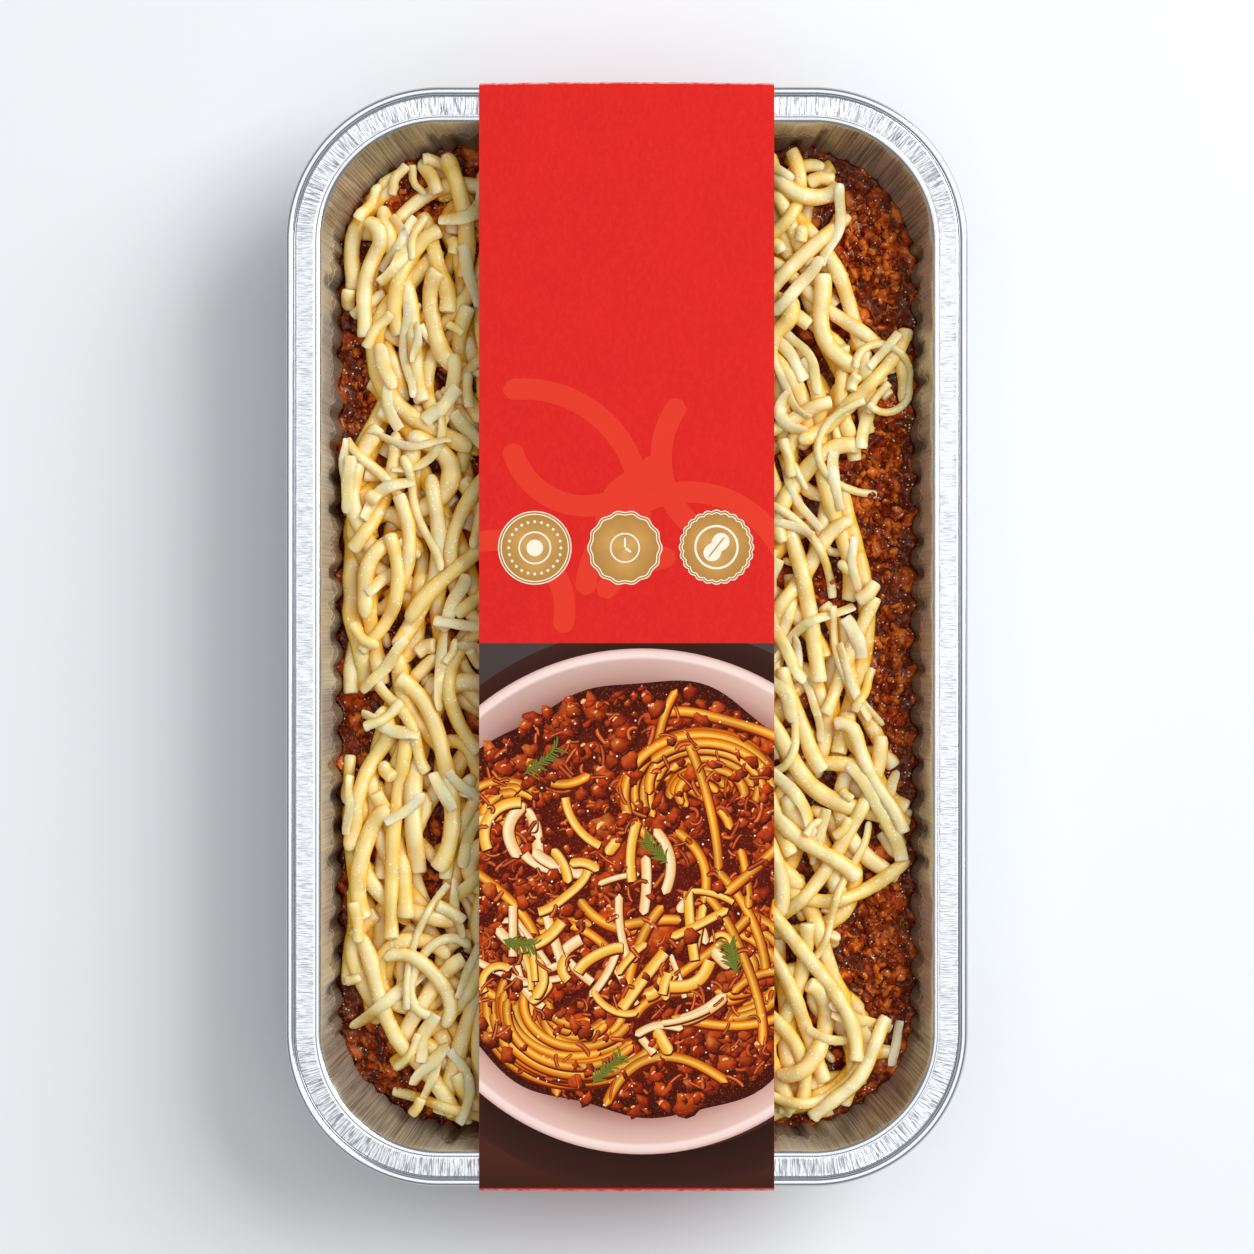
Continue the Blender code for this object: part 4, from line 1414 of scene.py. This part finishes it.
def draw_bars(sheet):
    bars = (
        ((-0.030, 0.038), 0.034, -50, 150), ((0.018, 0.012), 0.030, 20, 160),
        ((-0.012, 0.060), 0.022, 190, 150), ((0.036, 0.052), 0.026, 140, 130),
        ((-0.038, 0.008), 0.020, -20, 130), ((0.006, 0.034), 0.012, 60, 250),
    )
    for centre, radius, start, sweep in bars:
        path = arc(centre, radius, start, sweep, 60)
        add_ribbon(sheet, path, 0.0062, ((-1, PALE_RED), (0, PALE_RED), (1, PALE_RED)))


def draw_seal(sheet, centre, outline, inner_share):
    """A gold disc with a cream line just inside its edge, and an inner ring."""
    radius = 0.0104
    edge = lambda angle: radius * outline(angle)
    sheen = ((0.05, tone(206, 160, 96)), (0.55, GOLD), (1.0, tone(178, 128, 62)))
    add_ring(sheet, centre, edge, sheen, 144, floor=12, lit=lambda angle: 1 + 0.08 * math.sin(3 * angle))
    add_ring(sheet, centre, edge, ((0.925, CREAM), (0.955, CREAM)), 144, floor=13)
    add_ring(sheet, centre, edge, ((1.0, CREAM), (1.028, CREAM)), 144, floor=13)
    inner = lambda angle: radius * inner_share
    add_ring(sheet, centre, inner, ((0.90, CREAM), (1.0, CREAM)), 72, floor=14)


def draw_seals(sheet):
    places = ((-0.0267, 0.0258), (-0.0005, 0.0258), (0.0261, 0.0260))
    draw_seal(sheet, places[0], lambda angle: 1.0, 0.46)
    for k in range(24):
        angle = 2 * math.pi * k / 24
        dot = (places[0][0] + 0.0076 * math.cos(angle), places[0][1] + 0.0076 * math.sin(angle))
        add_disc(sheet, dot, lambda a: 0.00042, CREAM, 12, 15)
    add_disc(sheet, places[0], lambda a: 0.0024, CREAM, 32, 15)
    draw_seal(sheet, places[1], lambda angle: 1 + 0.025 * math.cos(14 * angle), 0.42)
    for angle, reach, width in ((90, 0.0031, 0.0006), (-35, 0.0023, 0.0007)):
        path = line_from(places[1], math.radians(angle), reach * np.linspace(0, 1, 6))
        add_ribbon(sheet, path, width, ((-1, CREAM), (1, CREAM)), floor=15)
    draw_seal(sheet, places[2], lambda angle: 1 + 0.05 * (abs(math.cos(12 * angle)) - 0.5), 0.62)
    bean = lambda angle: 0.0046 * (0.42 + 0.58 * abs(math.cos(angle - 0.9)) ** 1.6)
    add_disc(sheet, places[2], bean, CREAM, 60, 15)
    path = line_from(places[2], 0.9, 0.0040 * np.linspace(-1, 1, 9))
    add_ribbon(sheet, path, 0.00045, ((-1, GOLD), (1, GOLD)), floor=16)


upper = Print("print_upper_field", (-HALF_FIELD, FIELD_SPLIT_Y), (HALF_FIELD, TOP_FIELD_Y))
draw_bars(upper)
draw_seals(upper)

# %% [markdown]
# The lower field is a picture of the food served in a pale bowl on a dark table. Nothing in it is one
# known picture: random noodles, lumps, strips and sprigs are laid into a bowl in the order that food
# is put on a plate, and light from the upper left shades them.

# %% Lumps, noodles and strips
def add_lump(sheet, draw, centre, size, ratio, angle, inks_of_light, floor):
    """A round, uneven lump that is lit from the upper left."""
    segments, shares = 12, (0.0, 0.45, 0.8, 1.0)
    ripple = [draw.uniform(0.68, 1.25) for _ in range(segments)]
    cos, sin = math.cos(angle), math.sin(angle)
    places, inks = [], []
    for share in shares:
        for k in range(segments):
            turn = 2 * math.pi * k / segments
            u, v = math.cos(turn) * share * ripple[k], math.sin(turn) * share * ripple[k] * ratio
            x, y = (u * cos - v * sin) * size, (u * sin + v * cos) * size
            places.append((centre[0] + x, centre[1] + y))
            lit = 0.5 + 0.55 * (-0.6 * x + 0.8 * y) / size - 0.45 * share ** 3
            inks.append(ink_ramp(inks_of_light, min(1.0, max(0.0, lit))))
    sheet.add(places, ring_faces(len(shares), segments), inks, 0.8, floor)


def wander(draw, start, heading, length, bend, count):
    """A smoothly bending line from a place."""
    points, angle, x, y = [], heading, start[0], start[1]
    sway = draw.uniform(-1, 1) * bend
    for k in range(count):
        points.append((x, y))
        angle += (bend + sway * math.cos(2 * math.pi * k / count)) / count
        x, y = x + math.cos(angle) * length / count, y + math.sin(angle) * length / count
    return np.array(points)


NOODLE = (
    (-1, tone(150, 54, 4)), (-0.75, tone(216, 108, 10)), (-0.3, tone(244, 156, 32)),
    (0.15, tone(255, 208, 104)), (0.4, tone(248, 170, 46)), (0.8, tone(224, 120, 16)), (1, tone(158, 62, 6)),
)
STRIP = (
    (-1, tone(186, 112, 50)), (-0.75, tone(238, 188, 120)), (-0.1, tone(250, 216, 158)),
    (0.4, tone(255, 238, 202)), (0.8, tone(242, 198, 138)), (1, tone(194, 120, 56)),
)
YELLOW_STRIP = (
    (-1, tone(184, 100, 14)), (-0.75, tone(236, 162, 44)), (-0.1, tone(248, 196, 84)),
    (0.4, tone(255, 226, 140)), (0.8, tone(238, 174, 62)), (1, tone(188, 104, 20)),
)
SHADOW = ((-1, tone(112, 30, 7)), (0, tone(58, 13, 3)), (1, tone(104, 27, 6)))


# %% [markdown]
# The bowl fills the field and is cut by both of its sides. Its rim is pink-white and its inner wall
# darkens towards the food. Lumps and threads of mince lie at the bottom, then loose noodles and four
# nests of them, more mince, cheese strips in loose clumps, small glints, and sprigs of herb on top.

# %% Lower field
BOWL, BOWL_REACH, FOOD_REACH = (0.0045, -0.0765), 0.0735, 0.0632


def draw_bowl(sheet):
    table = (
        (0.0, tone(54, 26, 20)), (0.10, tone(78, 38, 28)), (0.16, tone(60, 30, 26)), (1.0, tone(72, 62, 60)))
    add_rectangle(sheet, (-0.05, -0.165), (0.05, 0.002), table, 24)
    shadow = ((0.96, tone(42, 20, 14)), (1.05, tone(54, 25, 18)), (1.12, tone(62, 32, 26)))
    add_ring(sheet, (BOWL[0] + 0.003, BOWL[1] - 0.003), lambda a: BOWL_REACH, shadow, 96, floor=2)
    rings = (
        (0.05, tone(96, 40, 28)), (0.80, tone(134, 76, 64)), (0.85, tone(176, 126, 114)),
        (0.90, tone(210, 166, 154)), (0.955, tone(226, 188, 178)), (0.968, tone(246, 222, 214)),
        (0.986, tone(240, 212, 204)), (1.0, tone(204, 160, 150)),
    )
    uneven = lambda a: 1.0 - 0.20 * max(0.0, math.sin(a - 0.5)) ** 2
    rim = lambda a: BOWL_REACH * (1 + 0.006 * math.sin(3 * a))
    add_ring(sheet, BOWL, rim, rings, 144, floor=3, lit=uneven)
    food = ((0.05, tone(96, 19, 4)), (0.80, tone(88, 17, 4)), (0.94, tone(66, 12, 3)), (1.0, tone(54, 14, 7)))
    heap = lambda a: FOOD_REACH * (1 + 0.02 * math.sin(5 * a + 1) + 0.014 * math.sin(11 * a))
    add_ring(sheet, BOWL, heap, food, 144, floor=4, grit=1.0)


def in_food(x, y, margin=0.0):
    return math.hypot(x - BOWL[0], y - BOWL[1]) < FOOD_REACH - 0.0004 - margin and abs(x) < 0.048


PICTURE = (-0.046, -0.141), (0.046, -0.012)


def random_place(draw, low, high, margin):
    while True:
        x, y = draw.uniform(low[0], high[0]), draw.uniform(low[1], high[1])
        if in_food(x, y, margin):
            return x, y


def draw_lumps(sheet, draw, count, floor, scale=1.0):
    """Lumps of mince, about half of them with a small arc of light on top."""
    for _ in range(count):
        x, y = random_place(draw, *PICTURE, 0.001)
        red = draw.random()
        bright = blend_ink(tone(222, 96, 30), tone(246, 168, 70), draw.random() ** 2)
        body = blend_ink(tone(146, 28, 5), tone(206, 66, 13), red)
        inks = ((0.0, tone(58, 10, 2)), (0.45, body), (1.0, bright))
        size = draw.uniform(0.0010, 0.0030) * scale
        add_lump(sheet, draw, (x, y), size, draw.uniform(0.4, 0.9), draw.uniform(0, 6.28), inks, floor)
        if draw.random() < 0.5:
            middle = (x - size * 0.1, y + size * 0.1)
            glint = arc(middle, size * 0.45, draw.uniform(60, 120), draw.uniform(40, 90), 5)
            across = ((-1, bright), (0, tone(255, 206, 150)), (1, bright))
            add_ribbon(sheet, glint, size * 0.22, across, floor=floor)


def draw_threads(sheet, draw, count, floor):
    """Torn threads of meat, each with a lit edge."""
    for _ in range(count):
        place, heading = random_place(draw, *PICTURE, 0.002), draw.uniform(0, 6.28)
        path = wander(draw, place, heading, draw.uniform(0.0020, 0.0075), draw.gauss(0, 1.6), 9)
        if all(in_food(px, py, 0.0006) for px, py in path):
            body = blend_ink(tone(132, 26, 6), tone(206, 74, 20), draw.random())
            bright = blend_ink(body, tone(248, 150, 76), draw.uniform(0.3, 1.0))
            across = ((-1, tone(52, 8, 2)), (-0.5, body), (0.2, bright), (0.5, body), (1, tone(86, 14, 3)))
            add_ribbon(sheet, path, draw.uniform(0.0007, 0.0016), across, floor=floor, grit=0.4)


def draw_noodle(sheet, draw, path, low, high):
    """The part of a noodle in the food, with a soft dark line under it away from the light."""
    path = path[[in_food(x, y, 0.0004) for x, y in path]]
    if len(path) <= 8:
        return
    width = draw.uniform(low, high)
    under = path + np.array([0.00024, -0.00038])
    add_ribbon(sheet, under, width * 1.14, SHADOW, floor=6)
    shades = 0.90 + 0.14 * np.sin(np.linspace(0, draw.uniform(3, 9), len(path)) + draw.uniform(0, 6))
    add_ribbon(sheet, path, width, NOODLE, floor=6, grit=0.08, along=shades)


def draw_noodles(sheet, draw, count, low, high, heading, spread):
    for _ in range(count):
        place, angle = random_place(draw, low, high, 0.004), heading + draw.gauss(0, spread)
        path = wander(draw, place, angle, draw.uniform(0.016, 0.052), draw.uniform(-1.9, 1.9), 34)
        draw_noodle(sheet, draw, path, 0.0023, 0.0030)


def draw_nest(sheet, draw, centre, reach, start, sweep, count):
    """Noodles lying side by side in one sweep round a middle."""
    for _ in range(count):
        radius = reach * draw.uniform(0.28, 1.0)
        middle = (centre[0] + draw.gauss(0, 0.0012), centre[1] + draw.gauss(0, 0.0012))
        path = arc(middle, radius, start + draw.gauss(0, 16), sweep * draw.uniform(0.55, 1.0), 42)
        path[:, 1] = middle[1] + (path[:, 1] - middle[1]) * 0.80
        draw_noodle(sheet, draw, path, 0.0024, 0.0031)


def draw_strips(sheet, draw, count, clumps, across):
    """Cheese strips, thrown in loose clumps."""
    for _ in range(count):
        middle = draw.choice(clumps)
        x, y = middle[0] + draw.gauss(0, middle[2]), middle[1] + draw.gauss(0, middle[2] * 0.8)
        path = wander(draw, (x, y), draw.uniform(0, 6.28), draw.uniform(0.005, 0.022), draw.gauss(0, 1.0), 18)
        if all(in_food(px, py, 0.001) for px, py in path):
            under = path + np.array([0.00030, -0.00046])
            width = draw.uniform(0.0016, 0.0036)
            squared = draw.random() < 0.5
            add_ribbon(sheet, under, width * 1.05, SHADOW, round_ends=not squared, floor=6)
            add_ribbon(sheet, path, width, across, round_ends=not squared, floor=6, grit=0.10)


def draw_sprig(sheet, draw, place, heading, length):
    stem = wander(draw, place, heading, length, draw.uniform(-0.7, 0.7), 14)
    green = ((-1, tone(70, 78, 18)), (0, tone(128, 134, 50)), (1, tone(80, 88, 24)))
    add_ribbon(sheet, stem, 0.0007, green, floor=8)
    for k in range(1, 14):
        for way in (-1, 1):
            angle = heading + way * draw.uniform(0.3, 0.7)
            leaf = wander(draw, stem[k], angle, draw.uniform(0.0022, 0.0050), way * 0.6, 7)
            add_ribbon(sheet, leaf, 0.00055, green, floor=8)


def draw_glints(sheet, draw, count):
    for _ in range(count):
        x, y = random_place(draw, *PICTURE, 0.002)
        size = draw.uniform(0.00014, 0.00032)
        ink = blend_ink(tone(255, 226, 180), tone(255, 250, 240), draw.random())
        add_disc(sheet, (x, y), lambda a: size, ink, 7, 8)


lower = Print("print_lower_field", (-HALF_FIELD, FOOT_FIELD_Y), (HALF_FIELD, FIELD_SPLIT_Y))
pen = random.Random(8)
draw_bowl(lower)
draw_lumps(lower, pen, 110, 5, 2.3)
draw_threads(lower, pen, 200, 5)
draw_lumps(lower, pen, 420, 5, 1.15)
draw_lumps(lower, pen, 160, 5, 0.7)
draw_noodles(lower, pen, 16, (-0.046, -0.140), (0.046, -0.015), 0.6, 1.2)
draw_nest(lower, pen, (0.022, -0.046), 0.023, 10, 200, 26)
draw_nest(lower, pen, (-0.014, -0.108), 0.027, 170, 170, 28)
draw_nest(lower, pen, (0.030, -0.096), 0.020, -70, 160, 14)
draw_nest(lower, pen, (-0.034, -0.052), 0.014, 60, 150, 10)
draw_lumps(lower, pen, 220, 7, 1.1)
draw_threads(lower, pen, 130, 7)
draw_noodles(lower, pen, 12, (0.000, -0.14), (0.046, -0.05), 1.2, 0.8)
clumps = (
    (-0.018, -0.060, 0.0085), (0.016, -0.082, 0.0095), (-0.022, -0.094, 0.0070), (0.008, -0.108, 0.0080))
draw_strips(lower, pen, 34, clumps, STRIP)
draw_strips(lower, pen, 30, clumps, YELLOW_STRIP)
draw_lumps(lower, pen, 60, 7)
draw_threads(lower, pen, 120, 7)
draw_glints(lower, pen, 170)
for spot, heading, length in (
    ((-0.030, -0.040), 0.5, 0.013), ((0.012, -0.066), 2.4, 0.010), ((-0.010, -0.130), 0.9, 0.012),
    ((0.032, -0.098), 1.9, 0.009), ((-0.036, -0.088), -0.4, 0.009),
):
    draw_sprig(lower, pen, spot, heading, length)

# %% [markdown]
# Both prints share one finish: the ink of each point, broken by fine grain where the picture shows
# sauce, under the same soft varnish as the board.

# %% Print finish
def print_finish():
    ink = Finish("printed_inks")
    base = ink.value_of("ink", out="Color")
    grit = ink.value_of("grit")
    lumps = ink.cells(ink.place, 0.0017)
    fine = ink.grain(ink.place, 0.00060, 3.0, 0.7)
    colour = ink.coated(
        base, (grit * lumps.between(0.25, 0.65) * 0.40, tone(72, 10, 2)),
        (grit * fine.between(0.56, 0.74) * 0.40, tone(244, 140, 52)),
        (grit * (1 - fine.between(0.30, 0.40)) * 0.45, tone(74, 14, 3)))
    return board_surface(ink, colour, 0.07)


INKS = print_finish()
for sheet in (upper, lower):
    made = sheet.finish(INKS, SLEEVE_TOP_Z + 0.000010, SLEEVE_BOX[1][2] - 0.00002)
    hand_over(made, "board_sleeve")
